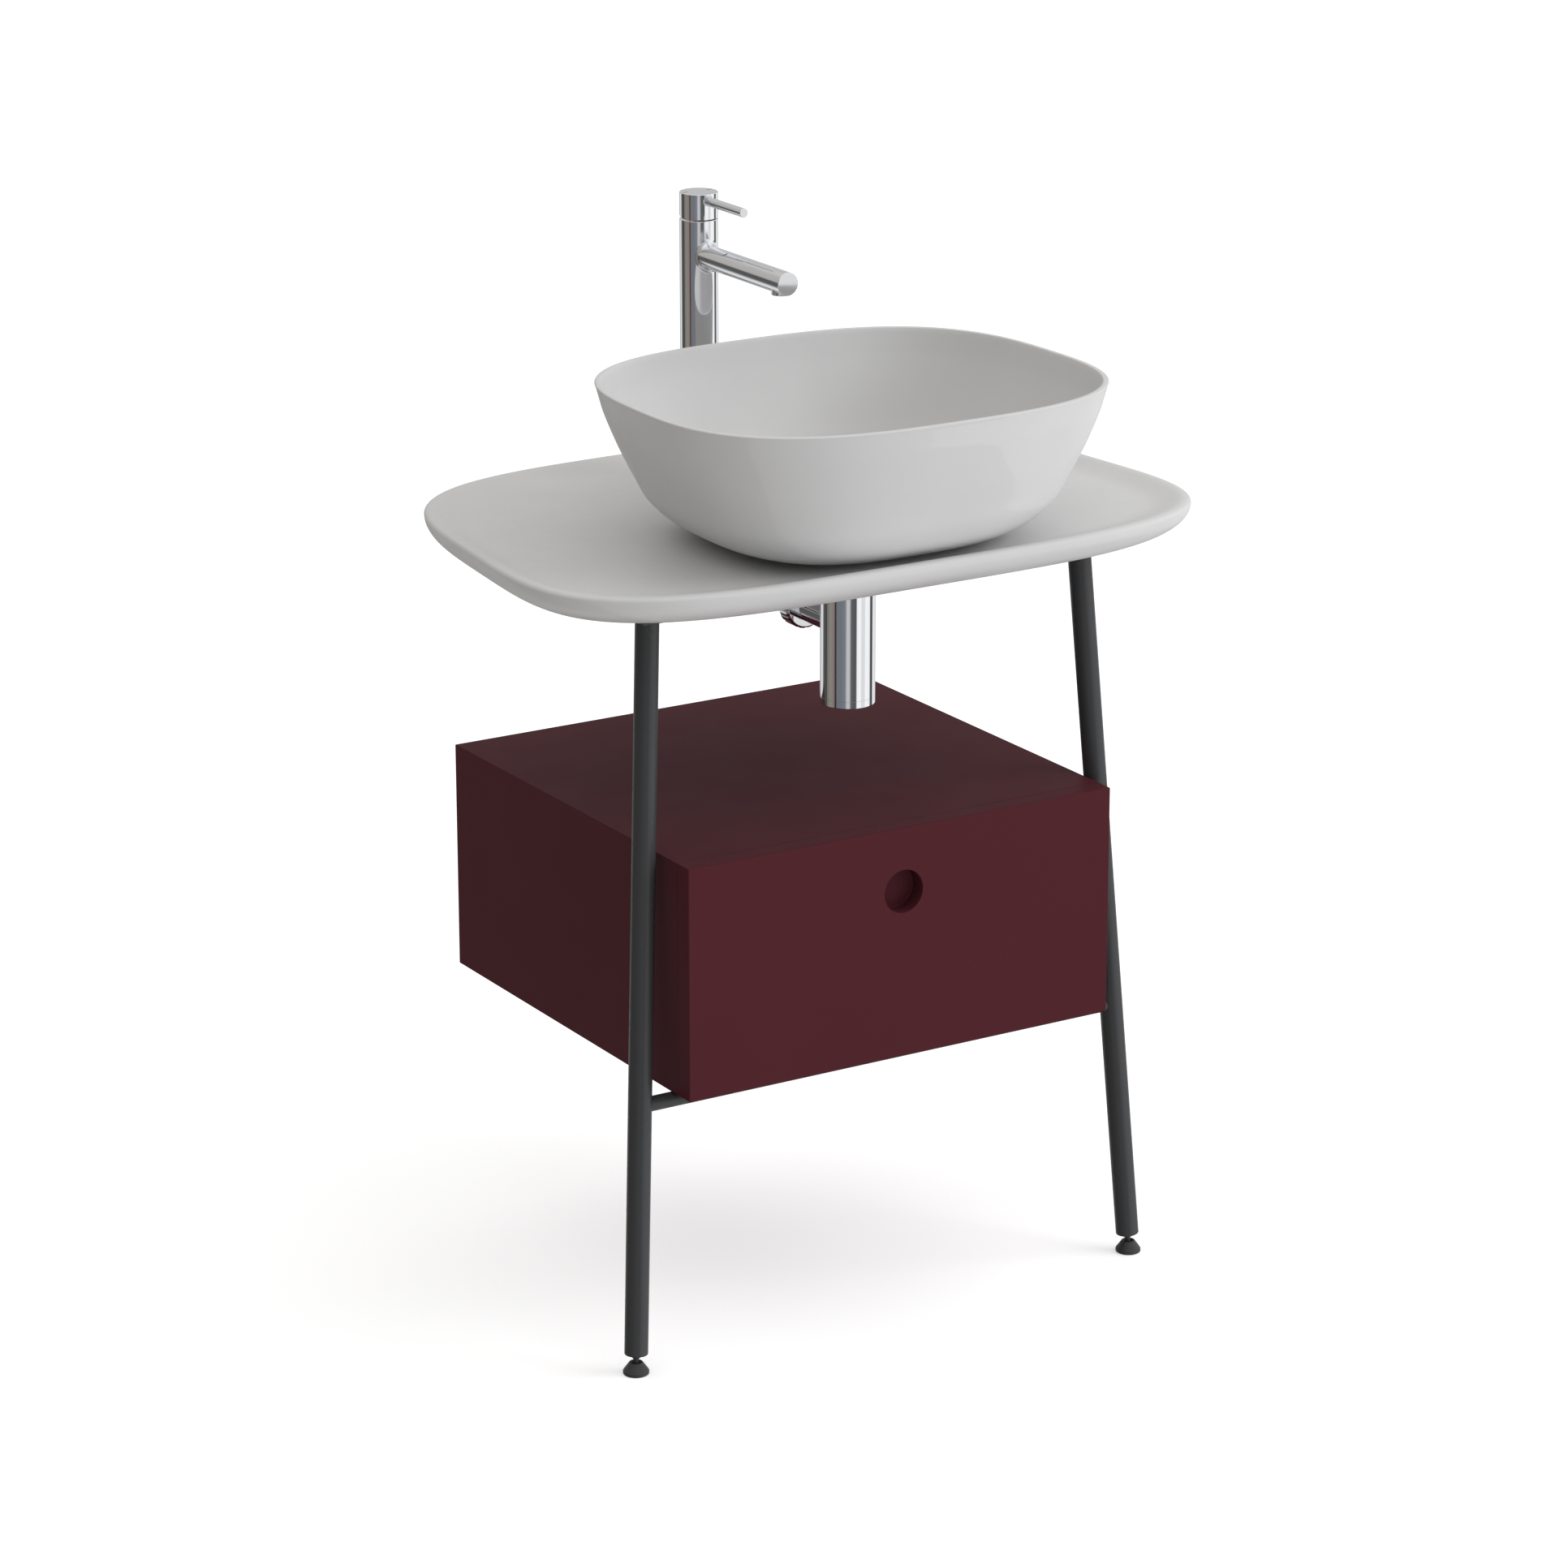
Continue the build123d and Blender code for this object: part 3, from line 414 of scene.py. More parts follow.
def build_counter():
    """A tray with a rounded rim: a bullnose below, a soft edge on top, and a hollow that falls to a flat."""
    low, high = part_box("counter_top")
    power, taper = 3.8, -0.085
    half_width = 383.5 * MM
    half_depth = (high.y - low.y) / 2
    centre_y = (high.y + low.y) / 2
    waste = middle("waste_nut")
    mixer = middle("mixer_body")
    count = 256
    hole_count = 64
    thickness = high.z - low.z
    underside_inset = 52 * MM
    edge_round = 4 * MM
    tray_drop = 9 * MM
    tray_inset = 58 * MM
    holes_half_width = 30 * MM      # both holes lie nearer the middle than this

    def ring_at(inset, drop):
        return superellipse(half_width - inset, half_depth - inset, power, taper, centre_y,
                            high.z - drop, count)

    section = [(underside_inset + 6 * MM, thickness)]
    for up, out in reversed(quarter(24)):
        section.append((underside_inset * (1 - out), edge_round + (thickness - edge_round) * up))
    section += [(0.25 * MM, 2.9 * MM), (0.85 * MM, 1.9 * MM), (1.7 * MM, 1.15 * MM), (2.1 * MM, 0.85 * MM),
                (2.5 * MM, 0.65 * MM), (3.3 * MM, 0.35 * MM), (4.8 * MM, 0.08 * MM), (6.4 * MM, 0)]
    slope = catmull([(6.4, 0), (9, 0.25), (13, 1.35), (18, 3.15), (24, 5.2), (30, 7.0), (37, 8.35),
                     (46, tray_drop / MM)], 4)
    section += [(inset * MM, drop * MM) for inset, drop in slope[1:]]
    section += [(50 * MM, tray_drop), (tray_inset, tray_drop)]

    bm = bmesh.new()
    rings = [add_ring(bm, ring_at(*place)) for place in section]
    skin(bm, rings)
    tray_z = high.z - tray_drop
    for axis, radius in ((waste, WASTE_HOLE_RADIUS), (mixer, MIXER_HOLE_RADIUS)):
        top = add_ring(bm, circle(axis.x, axis.y, tray_z, radius, hole_count))
        bottom = add_ring(bm, circle(axis.x, axis.y, low.z, radius, hole_count))
        skin(bm, [top, bottom])
    bm.verts.ensure_lookup_table()
    for outer, z in ((rings[-1], tray_z), (rings[0], low.z)):
        edges = ring_edges(bm, outer)
        edges += [e for e in bm.edges if len(e.link_faces) == 1 and e not in edges
                  and all(abs(v.co.z - z) < 1e-6 for v in e.verts)
                  and all(abs(v.co.x) < holes_half_width for v in e.verts)]
        bmesh.ops.triangle_fill(bm, edges=edges, use_beauty=True)
    piece_from(bm, "counter_slab", "vanity", "ceramic", ["counter_top"])


def build_bowl():
    """A thin-walled vessel: one closed skin, down the outside, under the foot and up the inside."""
    low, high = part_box("bowl")
    waste = middle("waste_nut")
    power, taper, wall = 2.87, -0.026, 6 * MM
    half_width = 253 * MM
    half_depth = (high.y - low.y) / 2
    centre_y = (high.y + low.y) / 2
    foot_height = 2 * MM
    foot_inset = 4 * MM
    foot_width = 14 * MM
    height = high.z - low.z - foot_height
    depth_inside = 142 * MM
    depth_share = 0.756             # how much of a side's slope the front and back take
    count = 256
    rim_round = 1.5 * MM
    base_round = 2 * MM
    hole_round = 0.6 * MM
    drain_radius = 36 * MM

    def ring_at(inset, inward, z):
        return superellipse(half_width - inset - inward, half_depth - depth_share * inset - inward,
                            power, taper, centre_y, z, count)

    # Share of the depth below the rim, and the inset there as a share of the half width.
    outer = [(0.0, 0.0), (0.1, 0.017), (0.2, 0.036), (0.4, 0.088), (0.6, 0.151), (0.75, 0.205),
             (0.88, 0.297), (0.96, 0.417), (1.0, 0.536)]
    inner = [(0.0, 0.0), (0.11, 0.018), (0.22, 0.038), (0.45, 0.092), (0.68, 0.158), (0.85, 0.235),
             (0.95, 0.34), (0.993, 0.45)]
    bm = bmesh.new()
    rings = []
    for depth, inset in catmull(outer, 8)[1:]:
        if depth * height > rim_round:
            rings.append(ring_at(inset * half_width, 0, high.z - depth * height))
    edge = outer[-1][1] * half_width
    seat = low.z + foot_height
    foot_outer = edge + foot_inset
    foot_inner = foot_outer + foot_width
    rings[-1] = ring_at(edge - base_round, 0, seat + 0.35 * MM)
    for inset, z in ((edge, seat), (foot_outer, seat), (foot_outer, low.z), (foot_inner, low.z),
                     (foot_inner, seat)):
        rings.append(ring_at(inset, 0, z))
    rings.append(circle(waste.x, waste.y, seat, WASTE_HOLE_RADIUS, count))
    floor_z = high.z - depth_inside
    rings.append(circle(waste.x, waste.y, floor_z - hole_round, WASTE_HOLE_RADIUS, count))
    rings.append(circle(waste.x, waste.y, floor_z, WASTE_HOLE_RADIUS + hole_round, count))
    last = ring_at(inner[-1][1] * half_width, wall, 0)
    drain = circle(waste.x, waste.y, 0, drain_radius, count)
    rings.append([Vector((p.x, p.y, floor_z)) for p in drain])
    # Share of the way from the drain to the wall, and the floor's rise there in millimetres.
    for share, rise in ((0.3, 0.0), (0.55, 0.06), (0.75, 0.2), (0.88, 0.46), (0.95, 0.7)):
        rings.append([Vector((*(a.lerp(b, share)).xy, floor_z + rise * MM)) for a, b in zip(drain, last)])
    for depth, inset in reversed(catmull(inner, 8)[1:]):
        if depth * depth_inside > rim_round:
            rings.append(ring_at(inset * half_width, wall, high.z - depth * depth_inside))
    for up, out in quarter(6):
        rings.append(ring_at(0, wall - rim_round * (1 - out), high.z - rim_round * (1 - up)))
    for up, out in reversed(quarter(6)):
        rings.append(ring_at(0, rim_round * (1 - out), high.z - rim_round * (1 - up)))
    skin(bm, [add_ring(bm, ring) for ring in rings], closed=True)
    piece_from(bm, "bowl_vessel", "vanity", "ceramic", ["bowl"], sharp=50)


# ---------------------------------------------------------------- mixer
def build_mixer_casting():
    """Body and spout as one casting: two cylinders with a rolling-ball fillet where they meet.

    Every vertex lies on the exact surface and carries its exact normal, so the chrome reads true.
    """
    low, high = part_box("mixer_body")
    spout_low, spout_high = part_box("mixer_spout")
    axis = middle("mixer_body")
    body_r = (high.x - low.x) / 2
    spout_r = (spout_high.x - spout_low.x) / 2
    spout_z = (spout_low.z + spout_high.z) / 2
    fillet = 7 * MM
    edge = 0.8 * MM
    end_ring = 3 * MM               # width of the flat ring at each end of the body
    around = 96
    patch_steps = 10
    fillet_steps = 10
    upper_steps = 3
    lower_steps = 12
    back_steps = 40
    reach = body_r + fillet
    bm = bmesh.new()
    normals = {}

    def vert(place, normal):
        v = bm.verts.new(place)
        normals[v] = Vector(normal).normalized()
        return v

    def body_vert(u, z):
        turn = u / body_r
        out = Vector((sin(turn), -cos(turn), 0))
        return vert(Vector((axis.x, axis.y, z)) + out * body_r, out)

    half = body_r * pi / 2
    angles = [2 * pi * k / around for k in range(around)]
    centres = [Vector((axis.x + (spout_r + fillet) * sin(a),
                       axis.y - sqrt(reach ** 2 - ((spout_r + fillet) * sin(a)) ** 2),
                       spout_z + (spout_r + fillet) * cos(a))) for a in angles]

    def hole_point(k):
        """Where the fillet meets the body, as distance round the body and height."""
        out = Vector((centres[k].x - axis.x, centres[k].y - axis.y))
        return body_r * math.atan2(out.x, -out.y), centres[k].z

    def frame_point(k):
        """The ray's end on a square round the hole."""
        s, c = sin(angles[k]), cos(angles[k])
        size = half / max(abs(s), abs(c))
        return size * s, spout_z + size * c

    patch = []
    for step in range(patch_steps + 1):
        share = (step / patch_steps) ** 1.3
        ring = []
        for k in range(around):
            (u0, z0), (u1, z1) = hole_point(k), frame_point(k)
            ring.append(body_vert(u0 + (u1 - u0) * share, z0 + (z1 - z0) * share))
        patch.append(ring)
    skin(bm, patch)
    outer = patch[-1]

    eighth = around // 8
    top = [outer[k % around] for k in range(-eighth, eighth + 1)]
    right = [outer[k] for k in range(eighth, 3 * eighth + 1)]
    bottom = [outer[k] for k in range(5 * eighth, 3 * eighth - 1, -1)]
    left = [outer[k] for k in range(7 * eighth, 5 * eighth - 1, -1)]
    columns = [frame_point(k % around)[0] for k in range(-eighth, eighth + 1)]
    back = [half + 2 * half * step / back_steps for step in range(1, back_steps)]
    upper = [spout_z + half + (high.z - edge - spout_z - half) * step / upper_steps
             for step in range(1, upper_steps + 1)]
    lower = [spout_z - half - (spout_z - half - low.z - edge) * step / lower_steps
             for step in range(1, lower_steps + 1)]

    def band(front_row, heights, start_z):
        """Full rings above or below the spout, from a ring whose front part is given."""
        rows = [front_row + [body_vert(u, start_z) for u in back]]
        for z in heights:
            rows.append([body_vert(u, z) for u in columns + back])
        skin(bm, rows)
        return rows

    top_rows = band(top, upper, spout_z + half)
    bottom_rows = band(bottom, lower, spout_z - half)
    middle_rows = [top_rows[0][len(columns) - 1:] + [top_rows[0][0]]]
    for k in range(1, len(right) - 1):
        z = frame_point(eighth + k)[1]
        middle_rows.append([right[k]] + [body_vert(u, z) for u in back] + [left[k]])
    middle_rows.append(bottom_rows[0][len(columns) - 1:] + [bottom_rows[0][0]])
    for a, b in zip(middle_rows, middle_rows[1:]):
        for i in range(len(a) - 1):
            bm.faces.new([a[i], a[i + 1], b[i + 1], b[i]])

    def rim(row, z, sign):
        """A rounded edge and a flat ring that closes the body's end."""
        rows = [row]
        for up, out in quarter(4)[1:]:
            rows.append([vert(Vector((axis.x, axis.y, z - sign * edge * (1 - up)))
                              + normals[v] * (body_r - edge * (1 - out)),
                              normals[v] * out + VERTICAL * sign * up) for v in row])
        end = Vector((axis.x, axis.y, z))
        rows.append([vert(end + normals[v] * (body_r - end_ring), VERTICAL * sign) for v in row])
        skin(bm, rows)
        return rows[-1]

    end_top = rim(top_rows[-1], high.z, 1)
    end_bottom = rim(bottom_rows[-1], low.z, -1)
    skin(bm, [end_top, end_bottom])

    rings = [patch[0]]
    for step in range(1, fillet_steps + 1):
        share = step / fillet_steps
        ring = []
        for k, a in enumerate(angles):
            centre = centres[k]
            to_body = (Vector((axis.x, axis.y, centre.z)) - centre).normalized()
            to_spout = Vector((-sin(a), 0, -cos(a)))
            spoke = to_body.slerp(to_spout, share)
            ring.append(vert(centre + spoke * fillet, -spoke))
        rings.append(ring)
    start_y = [v.co.y for v in rings[-1]]
    tip_y = spout_low.y
    for share in (0.15, 0.4, 0.7, 1.0):
        rings.append([vert((axis.x + spout_r * sin(a), start_y[k] + (tip_y + edge - start_y[k]) * share,
                            spout_z + spout_r * cos(a)), (sin(a), 0, cos(a))) for k, a in enumerate(angles)])
    for forward, out in quarter(4)[1:]:
        r = spout_r - edge * (1 - out)
        rings.append([vert((axis.x + r * sin(a), tip_y + edge * (1 - forward), spout_z + r * cos(a)),
                           (sin(a) * out, -forward, cos(a) * out)) for a in angles])
    rings.append([vert((axis.x, tip_y, spout_z), (0, -1, 0))])
    skin(bm, rings)

    bm.verts.index_update()
    order = sorted(normals, key=lambda v: v.index)
    exact = [tuple(normals[v]) for v in order]
    obj = piece_from(bm, "mixer_casting", "vanity", "chrome", ["mixer_body", "mixer_spout"], sharp=180)
    obj.modifiers.clear()
    obj.data.normals_split_custom_set_from_vertices(exact)


def build_aerator():
    """The outlet under the spout: a slotted ring round a recessed face of fine jets."""
    low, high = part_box("aerator")
    r = (high.x - low.x) / 2
    place = Vector((middle("aerator").x, middle("aerator").y, low.z))
    depth = high.z - low.z
    recess = 1.6 * MM
    slots, steps, slot_steps = 20, 12, 5
    slot_depth = 0.7 * MM
    profile = rounded([(0, recess), (r - 2.2 * MM, recess), (r - 2 * MM, 0), (r, 0), (r, depth), (0, depth)],
                      [0, 0.2 * MM, 0.3 * MM, 0.6 * MM, 0.2 * MM, 0])
    bm = bmesh.new()
    rings = []
    for rr, h in profile:
        if rr < ON_AXIS:
            rings.append([bm.verts.new(place + VERTICAL * h)])
            continue
        ring = []
        for k in range(slots * steps):
            a = 2 * pi * k / (slots * steps)
            in_slot = rr > r - 0.9 * MM and h > 0.5 * MM and (k % steps) < slot_steps
            reach = rr - (slot_depth if in_slot else 0)
            ring.append(bm.verts.new(place + Vector((cos(a), sin(a), 0)) * reach + VERTICAL * h))
        rings.append(ring)
    skin(bm, rings)
    piece_from(bm, "aerator_ring", "vanity", "chrome", ["aerator"])
    bm = bmesh.new()
    jet_r, jet_length = 0.5 * MM, 0.8 * MM
    jet_profile = [(0, 0), (0.42 * MM, 0), (jet_r, 0.15 * MM), (jet_r, jet_length), (0, jet_length)]
    for ring_r, count in ((1.4, 6), (3.1, 12), (4.9, 18), (6.7, 24)):
        for k in range(count):
            a = 2 * pi * k / count
            jet = place + Vector((ring_r * MM * cos(a), ring_r * MM * sin(a), 0.9 * MM))
            lathe_into(bm, jet_profile, jet, VERTICAL, 12)
    piece_from(bm, "aerator_jets", "vanity", "rubber")


def build_handle_cap():
    """The turning cap. Its lower edge rises behind the axis so that it can tip back."""
    low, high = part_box("handle_cap")
    axis = middle("handle_cap")
    r = (high.x - low.x) / 2
    wall, roof = 2.5 * MM, 3 * MM
    edge = 0.6 * MM
    lower_edge = 0.25 * MM
    slope = math.tan(radians(14))
    relief_start = 2 * MM           # the lower edge starts to rise this far before the axis
    recess_gap = 1.3 * MM
    segments = 192
    bm = bmesh.new()

    def foot(y):
        """Height of the lower edge."""
        return low.z + max(0.0, (y - axis.y + relief_start)) * slope

    def ring(radius, height):
        """A ring at a height, or along the cap's lower edge where height is None."""
        points = []
        for k in range(segments):
            a = 2 * pi * k / segments
            x = axis.x + radius * cos(a)
            y = axis.y + radius * sin(a)
            points.append(Vector((x, y, foot(y) if height is None else height)))
        return add_ring(bm, points)

    rings = [[bm.verts.new((axis.x, axis.y, high.z - roof))], ring(r - wall, high.z - roof)]
    rings += [ring(r - wall, None)]
    lower = ring(r, None)
    corner = [Vector(v.co) for v in lower]
    lifted = [bm.verts.new(p + VERTICAL * lower_edge) for p in corner]
    for v, p in zip(lower, corner):
        out = Vector((p.x - axis.x, p.y - axis.y, 0)).normalized()
        v.co = p - out * lower_edge
    rings += [lower, lifted]
    for up, out in quarter(6):
        rings.append(ring(r - edge * (1 - out), high.z - edge * (1 - up)))
    rings += [ring(r - 2.2 * MM, high.z), [bm.verts.new((axis.x, axis.y, high.z))]]
    skin(bm, rings)
    obj = piece_from(bm, "mixer_cap", "mixer_handle", "chrome", ["handle_cap"], sharp=60)
    lever_low, lever_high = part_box("lever_pin")
    lever_r = (lever_high.x - lever_low.x) / 2
    cut_recess(obj, axis, r, lever_r + recess_gap, middle("lever_pin").z)


def cut_recess(obj, axis, cap_r, hole_r, z):
    """A blind round recess in the cap's front for the lever, with the cap's exact shading kept around it."""
    start, depth = -2 * MM, 1.9 * MM
    bm = bmesh.new()
    lathe_into(bm, [(0, start), (hole_r, start), (hole_r, depth), (0, depth)],
               Vector((axis.x, axis.y - cap_r, z)), ALONG_Y)
    bmesh.ops.recalc_face_normals(bm, faces=bm.faces)
    mesh = bpy.data.meshes.new("recess_cutter")
    bm.to_mesh(mesh)
    bm.free()
    cutter = bpy.data.objects.new("recess_cutter", mesh)
    bpy.context.scene.collection.objects.link(cutter)
    obj.modifiers.clear()
    cut = obj.modifiers.new("recess", "BOOLEAN")
    cut.operation = "DIFFERENCE"
    cut.object = cutter
    cut.solver = "EXACT"
    done = bpy.data.meshes.new_from_object(obj.evaluated_get(bpy.context.evaluated_depsgraph_get()))
    obj.modifiers.clear()
    obj.data = done
    bpy.data.objects.remove(cutter)
    normals = [tuple(n.vector) for n in done.corner_normals]
    for face in done.polygons:
        if abs(face.normal.z) > 0.01:
            continue
        for loop in face.loop_indices:
            place = done.vertices[done.loops[loop].vertex_index].co
            out = Vector((place.x - axis.x, place.y - axis.y, 0))
            if abs(out.length - cap_r) < 0.02 * MM and face.normal.dot(out.normalized()) > 0.98:
                normals[loop] = tuple(out.normalized())
    done.normals_split_custom_set(normals)


def build_lever():
    """The lever rod, whose tip has an eased edge."""
    low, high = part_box("lever_pin")
    r = (high.x - low.x) / 2
    origin = Vector((0, low.y, (high.z + low.z) / 2))
    thread = 6 * MM                 # the hidden stretch at the root, left off
    length = high.y - low.y - thread
    profile = rounded([(0, 0), (r, 0), (r, length), (0, length)], [0, 0.5 * MM, 0.2 * MM, 0])
    lathe("lever_rod", profile, origin, ALONG_Y, "mixer_handle", "chrome", ["lever_pin"])


# ---------------------------------------------------------------- waste, trap and pipe
PIPE_GAP = 0.1 * MM


def pipe_radius():
    low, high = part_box("waste_pipe")
    return (high.x - low.x) / 2


def build_waste():
    """The push plug: a stem under a gently domed head."""
    low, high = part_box("waste_plug")
    r = (high.x - low.x) / 2
    axis = middle("waste_plug")
    head = 4 * MM
    dome = 1.1 * MM
    top = high.z - low.z
    stem = 4 * MM
    bevel = 1.2 * MM
    dome_r = r - 0.5 * MM
    dome_steps = 8
    below = [(0, 0), (stem - 0.5 * MM, 0), (stem, 0.5 * MM), (stem, top - head), (r - bevel, top - head),
             (r, top - head + bevel), (r, top - dome - 0.6 * MM), (dome_r, top - dome)]
    profile = rounded(below, [0, 0, 0, 0.6 * MM, 0.5 * MM, 0.4 * MM, 0.4 * MM, 0])
    for step in range(1, dome_steps + 1):
        share = 1 - step / dome_steps
        profile.append((dome_r * share, top - dome * share * share))
    origin = Vector((axis.x, axis.y, low.z))
    lathe("waste_plug_head", profile, origin, VERTICAL, "plug", "chrome", ["waste_plug"])


def build_trap():
    """The trap's screw-off bottom: a shallow cup with a spigot that goes up inside the bottle."""
    low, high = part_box("trap_cup")
    r = (high.x - low.x) / 2
    axis = middle("trap_cup")
    wall = 2 * MM
    floor = 3 * MM
    dish = 1.2 * MM                 # hollow under the bottom
    seam_edge = 0.25 * MM
    spigot = r - wall
    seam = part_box("trap_body")[0].z
    top = high.z - low.z
    joint = seam - low.z
    profile = rounded([(0, dish), (r - 5 * MM, dish), (r - 4 * MM, 0), (r, 0), (r, joint - seam_edge),
                       (r - seam_edge, joint), (spigot, joint), (spigot, top), (spigot - wall, top),
                       (spigot - wall, floor), (0, floor)],
                      [0, 1 * MM, 0.5 * MM, 0.9 * MM, 0.1 * MM, 0.1 * MM, 0, 0, 0, 1 * MM, 0], 8)
    origin = Vector((axis.x, axis.y, low.z))
    lathe("trap_cup_shell", profile, origin, VERTICAL, "vanity", "chrome", ["trap_cup"], 160)


def build_outlet_nut():
    """The slip nut on the trap's outlet, with shallow grip grooves."""
    low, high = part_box("outlet_nut")
    bore = pipe_radius() + PIPE_GAP
    r = (high.x - low.x) / 2
    length = high.y - low.y
    origin = Vector((middle("outlet_nut").x, low.y, middle("outlet_nut").z))
    ribs, steps = 16, 12
    groove_depth = 0.7 * MM
    bevel = 2.5 * MM
    profile = rounded([(bore, 0), (r - bevel, 0), (r, bevel), (r, length - bevel), (r - bevel, length),
                       (bore, length)], [0, 0.8 * MM, 1.0 * MM, 1.0 * MM, 0.8 * MM, 0], 4)
    turn = VERTICAL.rotation_difference(ALONG_Y).to_matrix()
    bm = bmesh.new()
    rings = []
    for rr, h in profile:
        ring = []
        for k in range(ribs * steps):
            a = 2 * pi * k / (ribs * steps)
            groove = max(0.0, cos(a * ribs)) ** 4 * groove_depth if rr > r - 1 * MM else 0
            reach = rr - groove
            ring.append(bm.verts.new(origin + turn @ Vector((reach * cos(a), reach * sin(a), h))))
        rings.append(ring)
    skin(bm, rings, closed=True)
    piece_from(bm, "outlet_slip_nut", "vanity", "chrome", ["outlet_nut"])


def build_rosette():
    """The flared cover where the pipe enters the wall."""
    low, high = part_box("wall_rosette")
    bore = pipe_radius() + PIPE_GAP
    r = (high.x - low.x) / 2
    depth = high.y - low.y
    axis = middle("wall_rosette")
    lip = 0.6 * MM
    flare = r - pipe_radius() - 1.5 * MM
    profile = [(bore, depth), (bore, lip), (bore + lip, 0)]
    profile += [(r - flare * (1 - share), depth - depth * (1 - share ** 2.4))
                for share in (0.0, 0.2, 0.4, 0.6, 0.75, 0.88, 0.96)]
    profile += [(r, depth)]
    origin = Vector((axis.x, low.y, axis.z))
    lathe("wall_rosette_cover", profile, origin, ALONG_Y, "vanity", "chrome", ["wall_rosette"], 128)


# ---------------------------------------------------------------- drawer unit
def build_cabinet():
    """Top, bottom and sides as one lacquered shell with eased edges."""
    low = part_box("carcass_bottom")[0]
    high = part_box("carcass_top")[1]
    inner_low = Vector((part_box("carcass_left")[1].x, low.y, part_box("carcass_bottom")[1].z))
    inner_high = Vector((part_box("carcass_right")[0].x, high.y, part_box("carcass_top")[0].z))
    ease = 0.9 * MM
    inner_ease = 0.5 * MM
    inner_corner = 0.4 * MM
    bm = bmesh.new()

    def loop(x0, x1, z0, z1, radius):
        """A rectangle of (x, z) with rounded corners."""
        points = []
        for cx, cz, start in ((x1, z1, 0), (x0, z1, 90), (x0, z0, 180), (x1, z0, 270)):
            sx = 1 if cx == x1 else -1
            sz = 1 if cz == z1 else -1
            for step in range(5):
                a = radians(start + 90 * step / 4)
                points.append((cx - sx * radius + radius * cos(a), cz - sz * radius + radius * sin(a)))
        return points

    def ring(y, grow, inside):
        a, b = (inner_low, inner_high) if inside else (low, high)
        radius = inner_corner if inside else ease
        points = loop(a.x - grow, b.x + grow, a.z - grow, b.z + grow, radius)
        return add_ring(bm, [Vector((x, y, z)) for x, z in points])

    rings = [ring(low.y, 0, False), ring(high.y - ease, 0, False),
             ring(high.y - 0.3 * ease, -0.3 * ease, False), ring(high.y, -ease, False),
             ring(high.y, inner_ease, True), ring(high.y - inner_ease, 0, True), ring(low.y, 0, True)]
    skin(bm, rings, closed=True)
    piece_from(bm, "cabinet_shell", "vanity", "lacquer",
               ["carcass_top", "carcass_bottom", "carcass_left", "carcass_right"])


def build_drawer_front():
    """The lacquered front with its round finger recess, whose edge is softened."""
    low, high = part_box("drawer_front")
    hole_r = 23.4 * MM
    hole = Vector((0, 0, high.z - 70 * MM))
    floor_y = high.y - 2 * MM       # the front's wood is left this thick behind the recess
    count = 96
    ease = 1.0 * MM
    floor_round = 2.5 * MM
    corner_round = 1.2 * MM
    bm = bmesh.new()

    def round_ring(radius, y):
        angles = [2 * pi * k / count for k in range(count)]
        return add_ring(bm, [Vector((hole.x + radius * cos(a), y, hole.z + radius * sin(a)))
                             for a in angles])

    def frame_ring(inset, y):
        """A rectangle with softened corners, drawn in by inset."""
        points = []
        radius = max(corner_round - inset, 0.2 * MM)
        for sx, sz, start in ((1, 1, 0), (-1, 1, 90), (-1, -1, 180), (1, -1, 270)):
            cx = (high.x if sx > 0 else low.x) - sx * (inset + radius)
            cz = (high.z if sz > 0 else low.z) - sz * (inset + radius)
            for step in range(5):
                a = radians(start + 90 * step / 4)
                points.append(Vector((cx + radius * cos(a), y, cz + radius * sin(a))))
        return add_ring(bm, points)

    hole_rings = [round_ring(hole_r + ease * (1 - s), low.y + ease * (1 - c)) for s, c in quarter(4)]
    hole_rings += [round_ring(hole_r - floor_round * (1 - c), floor_y - floor_round * (1 - s))
                   for s, c in quarter(4)]
    hole_rings.append([bm.verts.new((hole.x, floor_y, hole.z))])
    skin(bm, hole_rings)
    sides = [frame_ring(ease * (1 - s), low.y + ease * (1 - c)) for s, c in quarter(4)]
    sides.append(frame_ring(0, high.y))
    skin(bm, sides)
    edges = ring_edges(bm, sides[0]) + ring_edges(bm, hole_rings[0])
    bmesh.ops.triangle_fill(bm, edges=edges, use_beauty=True)
    bm.faces.new(sides[-1])
    piece_from(bm, "drawer_front_panel", "drawer", "lacquer", ["drawer_front"])


